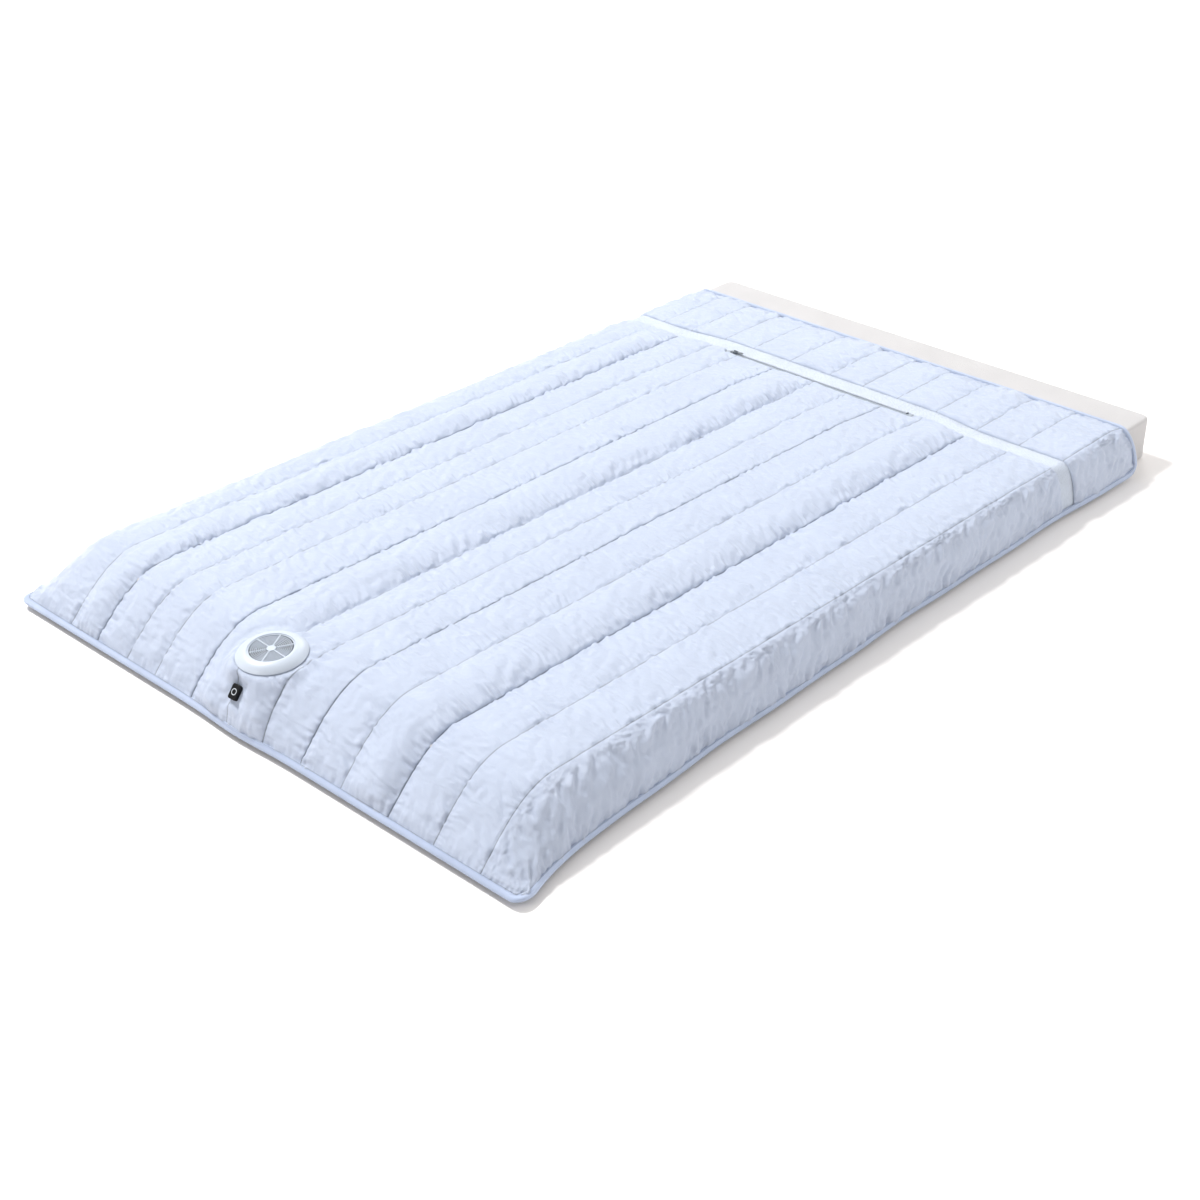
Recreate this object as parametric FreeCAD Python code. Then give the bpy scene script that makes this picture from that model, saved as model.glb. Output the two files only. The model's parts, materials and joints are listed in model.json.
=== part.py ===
"""A fan-ventilated cooling quilt draped over a foam mattress slab.

Frame: millimetres, X across the bed, +Y from the foot to the head, +Z up, origin under the middle of the
whole object's box, on the surface that it stands on. Places along the bed are counted from the slab's foot
face and places up from the floor.
"""

import FreeCAD, Part
import math
import os

from FreeCAD import Placement, Rotation, Vector

# Slab
SLAB_W, SLAB_L, SLAB_H = 1200.0, 1950.0, 100.0
SLAB_HEAD_R, SLAB_FOOT_R = 20.0, 60.0

# Quilt outline at its hem, and where its parts start and end along the bed
HEM_REACH = 118.0
HEM_HALF_FOOT, HEM_HALF_HEAD = 684.0, 632.0
HEM_Z = 14.0
CORNER_REACH = 52.0
BAND_FOOT, BAND_HEAD = 1578.0, 1620.0
QUILT_HEAD = 1840.0
SEAM_GAP = 1.0
SEAMS = [-520.0, -435.0, -342.0, -258.0, -150.0, -36.0, 57.0, 152.0, 255.0, 372.0, 480.0, 588.0]
SEAM_WIDTH, SEAM_DEPTH = 4.0, 9.0
SHELL_T = 2.0
PIPING_R = 6.0
HEAD_CORNER_REACH = 14.0

# Layers over the slab
QUILT_TOP = 131.0
QUILT_UNDER = 110.5
CORE_UNDER, CORE_TOP = 101.8, 109.8
CORE_HALF = 560.0
LINER_TOP, LINER_T = 101.5, 1.1
BAND_T = 3.0

# Zip on the foot side of the air band
ZIP_HALF, TAPE_HALF, OPENING_HALF = 250.0, 262.0, 264.0
OPENING_DEPTH = 18.0
ZIP_X, ZIP_Y = -32.0, 1569.0
TAPE_W, TAPE_T, TAPE_Z = 13.0, 0.8, 112.0
CHAIN_W, CHAIN_H = 5.0, 2.5
STOP_L, STOP_W, STOP_H = 2.6, 6.0, 3.2
SLIDER_L, SLIDER_W, SLIDER_PLATE = 14.0, 9.2, 1.2
SLIDER_X = ZIP_X - 237.0
PULL_L, PULL_W, PULL_T = 22.0, 6.4, 1.2
PULL_PIN_R = 0.8

# Fan: its flange plane is z 0 of its own frame
FAN_X, FAN_Y, FAN_Z = -10.0, -12.0, 121.0
FAN_TILT = 5.0
BEZEL_R, BEZEL_H, BEZEL_WALL = 65.0, 13.5, 2.6
GRILLE_R = 42.3
SPOKES, SPOKE_TURN, SLATS = 6, -3.0, 8
HUB_R, SLAT_W, SPOKE_W = 8.5, 1.3, 2.0
GRILLE_Z, GRILLE_T = 9.6, 2.6
HOUSING_IN, HOUSING_OUT = 45.2, 47.5
HOUSING_TOP, BASE_Z, BASE_T = 7.0, -18.0, 2.5
WINDOWS, WINDOW_W, WINDOW_LOW, WINDOW_HIGH = 12, 14.0, -12.0, -3.0
CLAMP_IN, CLAMP_OUT, CLAMP_Z, CLAMP_T = 48.3, 63.0, -6.0, 2.8
SCREW_COUNT, SCREW_RING_R = 6, 56.0
SCREW_R, SCREW_HEAD_R, SCREW_HEAD_H = 1.25, 2.6, 2.0
SKIRT_T = 2.4
IMPELLER_R, IMPELLER_HUB_R, IMPELLER_WALL = 40.0, 16.6, 1.4
IMPELLER_BACK, IMPELLER_TOP, BACK_PLATE_T = -12.5, 6.0, 1.2
TOP_RING_IN, TOP_RING_Z, TOP_RING_T = 33.0, 4.0, 1.2
BLADES, BLADE_START, BLADE_T, BLADE_LEAN = 22, 25.0, 1.0, -32.0
SHAFT_R, SHAFT_LOW, SHAFT_HIGH, BOSS_R = 1.5, -14.6, 4.3, 3.1
CUP_IN, CUP_T, CUP_LOW, CUP_TOP = 13.9, 1.2, -8.0, 3.4
MAGNET_IN, MAGNET_OUT, MAGNET_TOP = 12.2, 13.8, 2.0
POLES, CORE_IN, CORE_OUT, CORE_Z, CORE_T = 6, 4.7, 6.6, -7.0, 6.5
POLE_W, POLE_END, SHOE_IN, SHOE_OUT, SHOE_SPREAD = 2.2, 11.0, 10.6, 11.7, 0.33
COIL_IN, COIL_OUT, COIL_W, COIL_OVER = 6.9, 10.3, 4.6, 1.1
BOARD_IN, BOARD_OUT, BOARD_Z, BOARD_T = 4.8, 20.0, -15.0, 1.2
BEARING_R, BEARING_L, BEARING_LOW, BEARING_HIGH = 3.2, 2.5, -14.0, -1.6
TUBE_R, TUBE_TOP = 4.6, 1.0
LEAD_HOLE = (-6.0, -36.0)
LEAD_HOLE_R = 1.8

# Hump of the quilt round the fan, and the air chamber in it
HUMP_TOP_R, HUMP_LOW_R = 69.0, 83.0
CHAMBER_TOP_R, CHAMBER_LOW_R = 64.5, 75.0
HUMP_DEPTH = 68.0

# Control on the foot drop: its face is in the plane z CASE_PROUD of its own frame
CONTROL_X, CONTROL_Y, CONTROL_Z = -16.0, -92.0, 76.0
CONTROL_TILT = 52.0
CASE_W, CASE_L, CASE_R = 20.0, 28.0, 4.0
CASE_PROUD, CASE_SUNK, CASE_WALL = 5.0, 4.0, 1.6
BUTTON_R, BUTTON_TRAVEL_GAP = 4.7, 1.2
LIGHT_OUT = 6.2
INLET_W, INLET_H, INLET_DEPTH, INLET_Z = 9.0, 3.3, 6.5, 0.6
TONGUE_W, TONGUE_T = 6.4, 0.7
SWITCH_W, SWITCH_LOW, SWITCH_HIGH = 5.2, -1.3, 0.2
PCB_W, PCB_L, PCB_LOW, PCB_HIGH = 15.8, 23.6, -2.6, -1.4
PLATE_GROW, PLATE_T = 4.0, 1.6
PLATE_SCREW_X, PLATE_SCREW_Y, PLATE_SCREW_R, PLATE_HEAD_R = 7.0, 10.6, 0.8, 1.5
LEAD_R, LEAD_STRAIGHT = 1.5, 9.0

GAP = 0.3
SLAB_FOOT = (HEM_REACH - SLAB_L) / 2
TOP = Vector(0, 0, 1)


def along(y):
    """The row's y of a place counted from the slab's foot face."""
    return SLAB_FOOT + y


def face_of(points):
    """A flat face with straight edges through the points."""
    return Part.Face(Part.makePolygon([Vector(*p) for p in points] + [Vector(*points[0])]))


def block(x0, x1, y0, y1, z0, z1):
    """A box between two corners."""
    return Part.makeBox(x1 - x0, y1 - y0, z1 - z0, Vector(x0, y0, z0))


def disc(radius, z0, z1, x=0.0, y=0.0):
    """An upright cylinder."""
    return Part.makeCylinder(radius, z1 - z0, Vector(x, y, z0))


def ring(inner, outer, z0, z1, x=0.0, y=0.0):
    """An upright tube."""
    return disc(outer, z0, z1, x, y).cut(disc(inner, z0 - 1, z1 + 1, x, y))


def turned(shape, angle):
    """A copy turned about Z."""
    copy = shape.copy()
    copy.rotate(Vector(0, 0, 0), TOP, angle)
    return copy


def around(shape, count, start=0.0):
    """Copies of a shape, evenly turned about Z."""
    return [turned(shape, start + 360.0 * i / count) for i in range(count)]


def rounded(width, length, radius, z0, z1):
    """A block about the Z axis with rounded upright edges."""
    solid = block(-width / 2, width / 2, -length / 2, length / 2, z0, z1)
    upright = [e for e in solid.Edges if abs(e.tangentAt(e.FirstParameter).z) > 0.9]
    return solid.makeFillet(radius, upright)


# ---------------------------------------------------------------- the draped layers

def toward(point, other, reach):
    """Where a rounded corner at point meets its side towards other."""
    return point + (other - point).normalize() * reach


def rounded_path(points, reach):
    """Straight runs through the points, with a tangent arc that starts reach before each inner point."""
    edges, leave = [], points[0]
    for before, point, after in zip(points, points[1:], points[2:]):
        start, end = toward(point, before, reach), toward(point, after, reach)
        a, b = (before - point).normalize(), (after - point).normalize()
        half = a.getAngle(b) / 2
        radius = reach * math.tan(half)
        middle = point + (a + b).normalize() * (radius / math.sin(half) - radius)
        edges += [Part.LineSegment(leave, start).toShape(), Part.Arc(start, middle, end).toShape()]
        leave = end
    return edges + [Part.LineSegment(leave, points[-1]).toShape()]


def hem_corners(z, share, out, y_head):
    """The four corners of a draped layer at one height, from the head round the foot to the head."""
    half_foot = SLAB_W / 2 + share * (HEM_HALF_FOOT - SLAB_W / 2) + out
    half_head = SLAB_W / 2 + share * (HEM_HALF_HEAD - SLAB_W / 2) + out
    y_foot = along(-share * HEM_REACH - out)
    return [Vector(-half_head, along(y_head), z), Vector(-half_foot, y_foot, z),
            Vector(half_foot, y_foot, z), Vector(half_head, along(y_head), z)]


def outline(z, share, out, y_head):
    """The edge of a draped layer at one height: share runs from the slab's edge to the hem, out is added."""
    corners = hem_corners(z, share, out, y_head)
    head = Part.LineSegment(corners[-1], corners[0]).toShape()
    return Part.Wire(rounded_path(corners, CORNER_REACH) + [head])


def draped(levels, y_head):
    """A solid whose sides pass through the outlines at the levels (z, share, out)."""
    return Part.makeLoft([outline(z, share, out, y_head) for z, share, out in levels], True, True)


def cone(top_r, low_r, top_z):
    """A cone about the fan's axis, from below the flange plane down into the drop."""
    return on_fan(Part.makeCone(low_r, top_r, HUMP_DEPTH + top_z, Vector(0, 0, -HUMP_DEPTH)))


def quilt_levels(skin):
    """The quilt's rounded shoulder and sloping drop, skin inside its outer surface."""
    return [
        (HEM_Z, 1.0, -4.0 - skin),
        (58.0, 0.78, -skin),
        (84.0 - skin / 4, 0.52, -skin),
        (106.0 - skin / 2, 0.25, -skin),
        (124.0 - skin, 0.0, -skin),
        (QUILT_TOP - skin, 0.0, -45.0 - skin),
    ]


def under_levels():
    """The underside of the wadding."""
    return [(HEM_Z, 1.0, -20.0), (QUILT_UNDER, 0.0, 3.0)]


def outer_form(y_head, skin):
    """What the quilt's outer surface encloses, with the hump round the fan, skin inside it."""
    hump = cone(HUMP_TOP_R - skin, HUMP_LOW_R - skin, -GAP)
    form = draped(quilt_levels(skin), y_head).fuse(hump)
    return form.removeSplitter().cut(block(-900, 900, -1500, 1500, -50, HEM_Z))


def under_form(y_head):
    """What the wadding lies on, with the air chamber round the fan."""
    chamber = cone(CHAMBER_TOP_R, CHAMBER_LOW_R, 2.0)
    floor = block(-900, 900, -1500, 1500, -50, HEM_Z)
    return draped(under_levels(), y_head).fuse(chamber).cut(floor)


def seam_blades(low, width, y0, y1):
    """Upright plates that cut the sewn channels into the quilt's top, down to the height low."""
    blades = []
    for x in SEAMS:
        blades.append(block(x - width / 2, x + width / 2, along(y0 - 1), along(y1 + 1), low, 200))
    return Part.makeCompound(blades)


def slice_of(solid, y0, y1):
    """The stretch of a solid between two places along the bed."""
    return solid.common(block(-900, 900, along(y0), along(y1), -10, 300))


def fan_pocket():
    """The round opening of the quilt under the fan's flange."""
    return on_fan(disc(HUMP_TOP_R - 2.7, -30, 40))


def control_pocket():
    """The opening of the quilt round the control."""
    return on_drop(block(-CASE_W / 2 - 3, CASE_W / 2 + 3, -CASE_L / 2 - 3, CASE_L / 2 + 3, -24, 40))


def quilt_layer(outer, inner, y0, y1):
    """One layer of the quilt between two forms, with its openings where it reaches the foot."""
    layer = slice_of(outer, y0, y1).cut(inner)
    if y0 < 0:
        opening = block(ZIP_X - OPENING_HALF, ZIP_X + OPENING_HALF, along(y1 - OPENING_DEPTH), along(y1 + 5),
                        0, 300)
        layer = layer.cut(opening).cut(fan_pocket()).cut(control_pocket())
    return biggest(layer)


def biggest(shape):
    """The largest solid of a shape."""
    return max(shape.Solids, key=lambda s: s.Volume)


def foam_slab():
    """The mattress slab, rounder at the foot, where the quilt is drawn round its corners."""
    slab = block(-SLAB_W / 2, SLAB_W / 2, along(0), along(SLAB_L), 0, SLAB_H)
    upright = [e for e in slab.Edges if abs(e.tangentAt(e.FirstParameter).z) > 0.9]
    foot = [e for e in upright if e.CenterOfMass.y < along(SLAB_L / 2)]
    slab = slab.makeFillet(SLAB_FOOT_R, foot)
    head = [e for e in slab.Edges if e.Length > SLAB_H - 1 and e.CenterOfMass.y > along(SLAB_L - 1)
            and abs(e.tangentAt(e.FirstParameter).z) > 0.9]
    return slab.makeFillet(SLAB_HEAD_R, head)


def air_core():
    """The three-dimensional mesh that keeps the air way open between the quilt and the slab."""
    core = block(-CORE_HALF, CORE_HALF, along(62), along(QUILT_HEAD - 40), CORE_UNDER, CORE_TOP)
    return core.cut(on_fan(disc(CHAMBER_LOW_R, -60, 20)))


def bottom_liner():
    outer = draped([(HEM_Z, 1.0, -21.6), (LINER_TOP, 0.0, 2.0)], QUILT_HEAD)
    inner = draped([(HEM_Z - 3, 1.0, -22.8), (LINER_TOP - LINER_T, 0.0, 0.8)], QUILT_HEAD + 5)
    return biggest(outer.cut(inner))


def mesh_band(under):
    outer = draped([(HEM_Z, 1.0, -17.0), (QUILT_UNDER + BAND_T, 0.0, 6.0)], QUILT_HEAD)
    return biggest(slice_of(outer, BAND_FOOT, BAND_HEAD).cut(under))


def tube_on(edges, radius):
    """A round tube along edges that join smoothly, the first of them straight."""
    start = edges[0].valueAt(edges[0].FirstParameter)
    section = Part.Wire([Part.Circle(start, edges[0].tangentAt(edges[0].FirstParameter), radius).toShape()])
    return Part.Wire(edges).makePipeShell([section], True, True)


def hem_piping():
    """The bound edge: one run round the foot and the sides, and one over the head end."""
    z = HEM_Z - 0.5 - PIPING_R
    low_run = rounded_path(hem_corners(z, 1.0, -PIPING_R, QUILT_HEAD + PIPING_R), CORNER_REACH)
    y = along(QUILT_HEAD + GAP + PIPING_R)
    low = Vector(HEM_HALF_HEAD - 9, y, z + 2 * PIPING_R + 2)
    shoulder = Vector(SLAB_W / 2 + 9.5, y, SLAB_H + PIPING_R + 6.5)
    mirror = [Vector(-p.x, p.y, p.z) for p in (shoulder, low)]
    head_run = rounded_path([low, shoulder] + mirror, HEAD_CORNER_REACH)
    return Part.makeCompound([tube_on(low_run, PIPING_R), tube_on(head_run, PIPING_R)])


# ---------------------------------------------------------------- the zip

def zip_tape():
    low, high = along(ZIP_Y) - TAPE_W / 2, along(ZIP_Y) + TAPE_W / 2
    return block(ZIP_X - TAPE_HALF, ZIP_X + TAPE_HALF, low, high, TAPE_Z, TAPE_Z + TAPE_T)


def zip_chain():
    """The closed coil, as one crowned bar."""
    half = ZIP_HALF - STOP_L - GAP
    x, y, z0 = ZIP_X - half, along(ZIP_Y), TAPE_Z + TAPE_T
    crown = Part.Arc(
        Vector(x, y + CHAIN_W / 2, z0 + CHAIN_H / 2),
        Vector(x, y, z0 + CHAIN_H),
        Vector(x, y - CHAIN_W / 2, z0 + CHAIN_H / 2),
    ).toShape()
    foot = Part.makePolygon([
        Vector(x, y - CHAIN_W / 2, z0 + CHAIN_H / 2),
        Vector(x, y - CHAIN_W / 2, z0),
        Vector(x, y + CHAIN_W / 2, z0),
        Vector(x, y + CHAIN_W / 2, z0 + CHAIN_H / 2),
    ])
    return Part.Face(Part.Wire([crown] + foot.Edges)).extrude(Vector(2 * half, 0, 0))


def zip_end_stops():
    y, z0 = along(ZIP_Y), TAPE_Z + TAPE_T
    return Part.makeCompound([
        block(x, x + STOP_L, y - STOP_W / 2, y + STOP_W / 2, z0, z0 + STOP_H)
        for x in (ZIP_X - ZIP_HALF, ZIP_X + ZIP_HALF - STOP_L)
    ])


def slider_top():
    """The height of the slider's plate over the chain."""
    return TAPE_Z + TAPE_T + CHAIN_H + GAP + SLIDER_PLATE


def pull_pin_z():
    """The height of the pull's cross pin, in the middle of the slider's loop."""
    return slider_top() + 2 * GAP + PULL_PIN_R


def zip_slider():
    """A plate with two side flanges that ride over the chain, and the loop that holds the pull."""
    y, top = along(ZIP_Y), slider_top()
    x0, x1 = SLIDER_X - SLIDER_L / 2, SLIDER_X + SLIDER_L / 2
    plate = rounded(SLIDER_L, SLIDER_W, 2.0, top - SLIDER_PLATE, top)
    plate.translate(Vector(SLIDER_X, y, 0))
    body = plate
    for side in (-1, 1):
        inner, outer = side * (SLIDER_W / 2 - 1.2), side * SLIDER_W / 2
        low, high = sorted((y + inner, y + outer))
        flange = block(x0 + 2, x1 - 2, low, high, TAPE_Z + TAPE_T + GAP, top)
        body = body.fuse(flange)
    bar_low = pull_pin_z() + PULL_PIN_R + GAP
    bar = block(x0 + 2.6, x1 - 2.6, y - 0.8, y + 0.8, bar_low, bar_low + 1.4)
    for x in (x0 + 2.6, x1 - 4.0):
        body = body.fuse(block(x, x + 1.4, y - 0.8, y + 0.8, top - 0.2, bar_low + 1.4))
    return body.fuse(bar).removeSplitter()


def zip_pull():
    """A flat tab on a cross pin: two arms beside the slider's loop, joined beyond it."""
    y, z, x = along(ZIP_Y), pull_pin_z(), SLIDER_X
    pin = Part.makeCylinder(PULL_PIN_R, PULL_W - 0.4, Vector(x, y - PULL_W / 2 + 0.2, z), Vector(0, 1, 0))
    tab = block(x - 0.9, x + PULL_L, y - PULL_W / 2, y + PULL_W / 2, z - PULL_T / 2, z + PULL_T / 2)
    loop_room = block(x - 2, x + SLIDER_L / 2 + 0.4, y - 1.5, y + 1.5, z - 2, z + 2)
    eye = Part.makeCylinder(1.4, 3, Vector(x + PULL_L - 4, y, z - 1.5))
    upright = [e for e in tab.Edges if abs(e.tangentAt(e.FirstParameter).z) > 0.9]
    corners = [e for e in upright if e.CenterOfMass.x > x + 5]
    return tab.makeFillet(2.0, corners).cut(loop_room).cut(eye).fuse(pin).removeSplitter()


# ---------------------------------------------------------------- the fan

def on_fan(shape):
    """Moves a shape from the fan's own frame to its place on the foot shoulder."""
    copy = shape.copy()
    place = Placement(Vector(FAN_X, along(FAN_Y), FAN_Z), Rotation(Vector(1, 0, 0), FAN_TILT))
    copy.Placement = place.multiply(copy.Placement)
    return copy


def revolved(points):
    """A ring from a closed outline of (radius, z) corners and three-point arcs given as triples."""
    edges = []
    for item in points:
        ends = [Vector(r, 0, z) for r, z in item]
        edges.append(Part.Arc(*ends).toShape() if len(ends) == 3 else Part.LineSegment(*ends).toShape())
    return Part.Face(Part.Wire(edges)).revolve(Vector(0, 0, 0), TOP, 360)


def screw_places():
    """Centres of the clamp screws."""
    step = 2 * math.pi / SCREW_COUNT
    return [(SCREW_RING_R * math.cos(step * (i + 0.5)), SCREW_RING_R * math.sin(step * (i + 0.5)))
            for i in range(SCREW_COUNT)]


def fan_bezel():
    """The domed flange ring, with a boss inside for each clamp screw."""
    r_in, wall = GRILLE_R + 0.2, BEZEL_WALL
    rim_r, flat_r = BEZEL_R, 46.5
    body = revolved([
        [(rim_r, 0), (rim_r, 1.6)],
        [(rim_r, 1.6), (58.0, 8.4), (flat_r, BEZEL_H)],
        [(flat_r, BEZEL_H), (r_in, BEZEL_H)],
        [(r_in, BEZEL_H), (r_in, 2.0)],
        [(r_in, 2.0), (r_in + 2.0, 2.0)],
        [(r_in + 2.0, 2.0), (r_in + 2.0, BEZEL_H - wall)],
        [(r_in + 2.0, BEZEL_H - wall), (56.0, 6.6), (rim_r - wall, 0.8)],
        [(rim_r - wall, 0.8), (rim_r - wall, 0)],
        [(rim_r - wall, 0), (rim_r, 0)],
    ])
    for x, y in screw_places():
        body = body.fuse(disc(3.0, GAP, 7.4, x, y)).cut(disc(SCREW_R, -1, 5.4, x, y))
    return body.removeSplitter()


def fan_grille():
    """Rim, hub, spokes and round slats of the finger guard."""
    top = GRILLE_Z + GRILLE_T
    body = ring(GRILLE_R - 2.4, GRILLE_R, GRILLE_Z, top).fuse(disc(HUB_R, GRILLE_Z, top))
    pitch = (GRILLE_R - 2.4 - HUB_R) / (SLATS + 1)
    for i in range(SLATS):
        r = HUB_R + pitch * (i + 1)
        body = body.fuse(ring(r - SLAT_W / 2, r + SLAT_W / 2, GRILLE_Z, top - 0.4))
    spoke = block(HUB_R - 1, GRILLE_R - 1.5, -SPOKE_W / 2, SPOKE_W / 2, GRILLE_Z, top)
    for arm in around(spoke, SPOKES, SPOKE_TURN):
        body = body.fuse(arm)
    return body.removeSplitter()


def fan_housing():
    """The round wall with windows that let the air out sideways."""
    wall = ring(HOUSING_IN, HOUSING_OUT, BASE_Z + BASE_T + 0.1, HOUSING_TOP)
    window = block(HOUSING_IN - 3, HOUSING_OUT + 3, -WINDOW_W / 2, WINDOW_W / 2, WINDOW_LOW, WINDOW_HIGH)
    return wall.cut(Part.makeCompound(around(window, WINDOWS)))


def fan_base():
    """The closed floor that carries the motor, with the passage for its lead."""
    return disc(HOUSING_OUT, BASE_Z, BASE_Z + BASE_T).cut(disc(LEAD_HOLE_R, BASE_Z - 1, 0, *LEAD_HOLE))


def fan_clamp_ring():
    """The ring under the fabric that the screws draw up to the bezel."""
    body = ring(CLAMP_IN, CLAMP_OUT, CLAMP_Z, CLAMP_Z + CLAMP_T)
    for x, y in screw_places():
        body = body.cut(disc(SCREW_R + 0.4, CLAMP_Z - 1, CLAMP_Z + CLAMP_T + 1, x, y))
    return body


def fan_screws():
    """The clamp screws, from below."""
    head_z = CLAMP_Z - GAP
    screws = []
    for x, y in screw_places():
        shank = disc(SCREW_R - 0.05, head_z - 0.5, 5.0, x, y)
        screws.append(shank.fuse(disc(SCREW_HEAD_R, head_z - SCREW_HEAD_H, head_z, x, y)))
    return Part.makeCompound(screws)


def fan_collar():
    """The fabric collar of the quilt's opening, held between the bezel and the clamp ring."""
    body = ring(HOUSING_OUT + GAP, HUMP_TOP_R - 3.0, -GAP - SKIRT_T, -GAP)
    for x, y in screw_places():
        body = body.cut(disc(SCREW_R + 0.4, -10, 5, x, y))
    return body


def impeller():
    """The radial wheel: hub, back plate, blades and top ring."""
    hub = disc(IMPELLER_HUB_R, IMPELLER_BACK, IMPELLER_TOP)
    room = disc(IMPELLER_HUB_R - IMPELLER_WALL, IMPELLER_BACK - 1, IMPELLER_TOP - 1.6)
    back = ring(IMPELLER_HUB_R - 1.0, IMPELLER_R, IMPELLER_BACK, IMPELLER_BACK + BACK_PLATE_T)
    boss = ring(SHAFT_R, BOSS_R, 1.6, IMPELLER_TOP - 1.5)
    rim = ring(TOP_RING_IN, IMPELLER_R, TOP_RING_Z, TOP_RING_Z + TOP_RING_T)
    body = hub.cut(room).fuse(back).fuse(boss).fuse(rim)
    blade = block(BLADE_START, IMPELLER_R - 0.4, -BLADE_T / 2, BLADE_T / 2, IMPELLER_BACK + 1.0,
                  TOP_RING_Z + 0.2)
    blade.rotate(Vector(BLADE_START, 0, 0), TOP, BLADE_LEAN)
    blade = blade.common(disc(IMPELLER_R, IMPELLER_BACK, IMPELLER_TOP))
    for one in around(blade, BLADES):
        body = body.fuse(one)
    return body


def rotor_cup():
    """The steel cup that closes the magnet's field."""
    wall = ring(CUP_IN, CUP_IN + CUP_T, CUP_LOW, CUP_TOP)
    return wall.fuse(ring(BOSS_R + GAP, CUP_IN + CUP_T / 2, CUP_TOP - CUP_T, CUP_TOP))


def rotor_magnet():
    return ring(MAGNET_IN, MAGNET_OUT, CUP_LOW, MAGNET_TOP)


def fan_shaft():
    return disc(SHAFT_R - 0.02, SHAFT_LOW, SHAFT_HIGH)


def motor_stator():
    """The laminated core with its poles."""
    top = CORE_Z + CORE_T
    body = ring(CORE_IN, CORE_OUT, CORE_Z, top)
    pole = block(CORE_OUT - 0.4, POLE_END, -POLE_W / 2, POLE_W / 2, CORE_Z, top)
    wedge = face_of([(0, 0, CORE_Z), (14, -14 * SHOE_SPREAD, CORE_Z), (14, 14 * SHOE_SPREAD, CORE_Z)])
    shoe = ring(SHOE_IN, SHOE_OUT, CORE_Z, top).common(wedge.extrude(Vector(0, 0, CORE_T)))
    for one in around(pole.fuse(shoe), POLES):
        body = body.fuse(one)
    return body


def motor_windings():
    """One coil round each pole."""
    low, high = CORE_Z - COIL_OVER, CORE_Z + CORE_T + COIL_OVER
    coil = block(COIL_IN, COIL_OUT, -COIL_W / 2, COIL_W / 2, low, high)
    room = block(COIL_IN - 1, COIL_OUT + 1, -POLE_W / 2 - 0.15, POLE_W / 2 + 0.15,
                 CORE_Z - 0.15, CORE_Z + CORE_T + 0.15)
    coil = coil.cut(room).cut(disc(COIL_IN - 0.1, low - 1, high + 1))
    return Part.makeCompound(around(coil, POLES))


def motor_board():
    """The round board under the motor."""
    return ring(BOARD_IN, BOARD_OUT, BOARD_Z, BOARD_Z + BOARD_T)


def bearing_tube():
    """The brass tube on the base that holds the two bearings and carries the core."""
    return ring(BEARING_R, TUBE_R, BASE_Z + BASE_T + 0.1, TUBE_TOP)


def fan_bearings():
    return Part.makeCompound([
        ring(SHAFT_R, BEARING_R - 0.02, z, z + BEARING_L) for z in (BEARING_LOW, BEARING_HIGH)
    ])


# ---------------------------------------------------------------- the control

def on_drop(shape):
    """Moves a shape from the control's own frame to its place on the foot drop."""
    copy = shape.copy()
    spot = Vector(CONTROL_X, along(CONTROL_Y), CONTROL_Z)
    copy.Placement = Placement(spot, Rotation(Vector(1, 0, 0), CONTROL_TILT)).multiply(copy.Placement)
    return copy


def inlet_room(grow, depth):
    """The flat oval of the power inlet, in the lower end of the case."""
    width, height = INLET_W + 2 * grow, INLET_H + 2 * grow
    solid = rounded(width, height, height / 2 - 0.01, 0, depth)
    solid.rotate(Vector(0, 0, 0), Vector(1, 0, 0), -90)
    solid.translate(Vector(0, -CASE_L / 2 - 0.01, INLET_Z))
    return solid


def control_case():
    """The black shell, open at the back, with a step for the light ring and a slot for the inlet."""
    body = rounded(CASE_W, CASE_L, CASE_R, -CASE_SUNK, CASE_PROUD)
    rim = [e for e in body.Edges if abs(e.CenterOfMass.z - CASE_PROUD) < 1e-6]
    body = body.makeFillet(1.0, rim)
    room = rounded(CASE_W - 2 * CASE_WALL, CASE_L - 2 * CASE_WALL, CASE_R - CASE_WALL,
                   -CASE_SUNK - 1, CASE_PROUD - CASE_WALL)
    hole = disc(LIGHT_OUT, 0, CASE_PROUD + 1)
    return body.cut(room).cut(hole).cut(inlet_room(0.35, 4.0))


def button_light_ring():
    """The pale ring round the button, with a lip behind the case's face."""
    face = ring(BUTTON_R + 0.25, LIGHT_OUT - 0.05, CASE_PROUD - CASE_WALL - 0.1, CASE_PROUD - 0.2)
    lip = ring(BUTTON_R + 0.25, LIGHT_OUT + 1.2, CASE_PROUD - CASE_WALL - 0.9, CASE_PROUD - CASE_WALL - 0.05)
    return face.fuse(lip).removeSplitter()


def power_button():
    """The round button, with its stem towards the switch."""
    cap = disc(BUTTON_R, CASE_PROUD - 3.0, CASE_PROUD - 0.1)
    dish = Part.makeSphere(30.0, Vector(0, 0, CASE_PROUD + 29.4))
    return cap.cut(dish).fuse(disc(1.6, 0.3 + BUTTON_TRAVEL_GAP, CASE_PROUD - 2.9)).removeSplitter()


def button_switch():
    """The push switch on the board."""
    return block(-SWITCH_W / 2, SWITCH_W / 2, -SWITCH_W / 2, SWITCH_W / 2, SWITCH_LOW, SWITCH_HIGH)


def control_board():
    return rounded(PCB_W, PCB_L, 2.0, PCB_LOW, PCB_HIGH)


def control_back_plate():
    """The plate behind the fabric, with a grommet hole for the lead."""
    top = -CASE_SUNK - 0.2
    plate = rounded(CASE_W + PLATE_GROW, CASE_L + PLATE_GROW, CASE_R, top - PLATE_T, top)
    holes = [disc(PLATE_SCREW_R + 0.2, -10, 0, x, y) for x, y in plate_screw_places()]
    return plate.cut(disc(LEAD_R + GAP, -10, 0)).cut(Part.makeCompound(holes))


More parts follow.
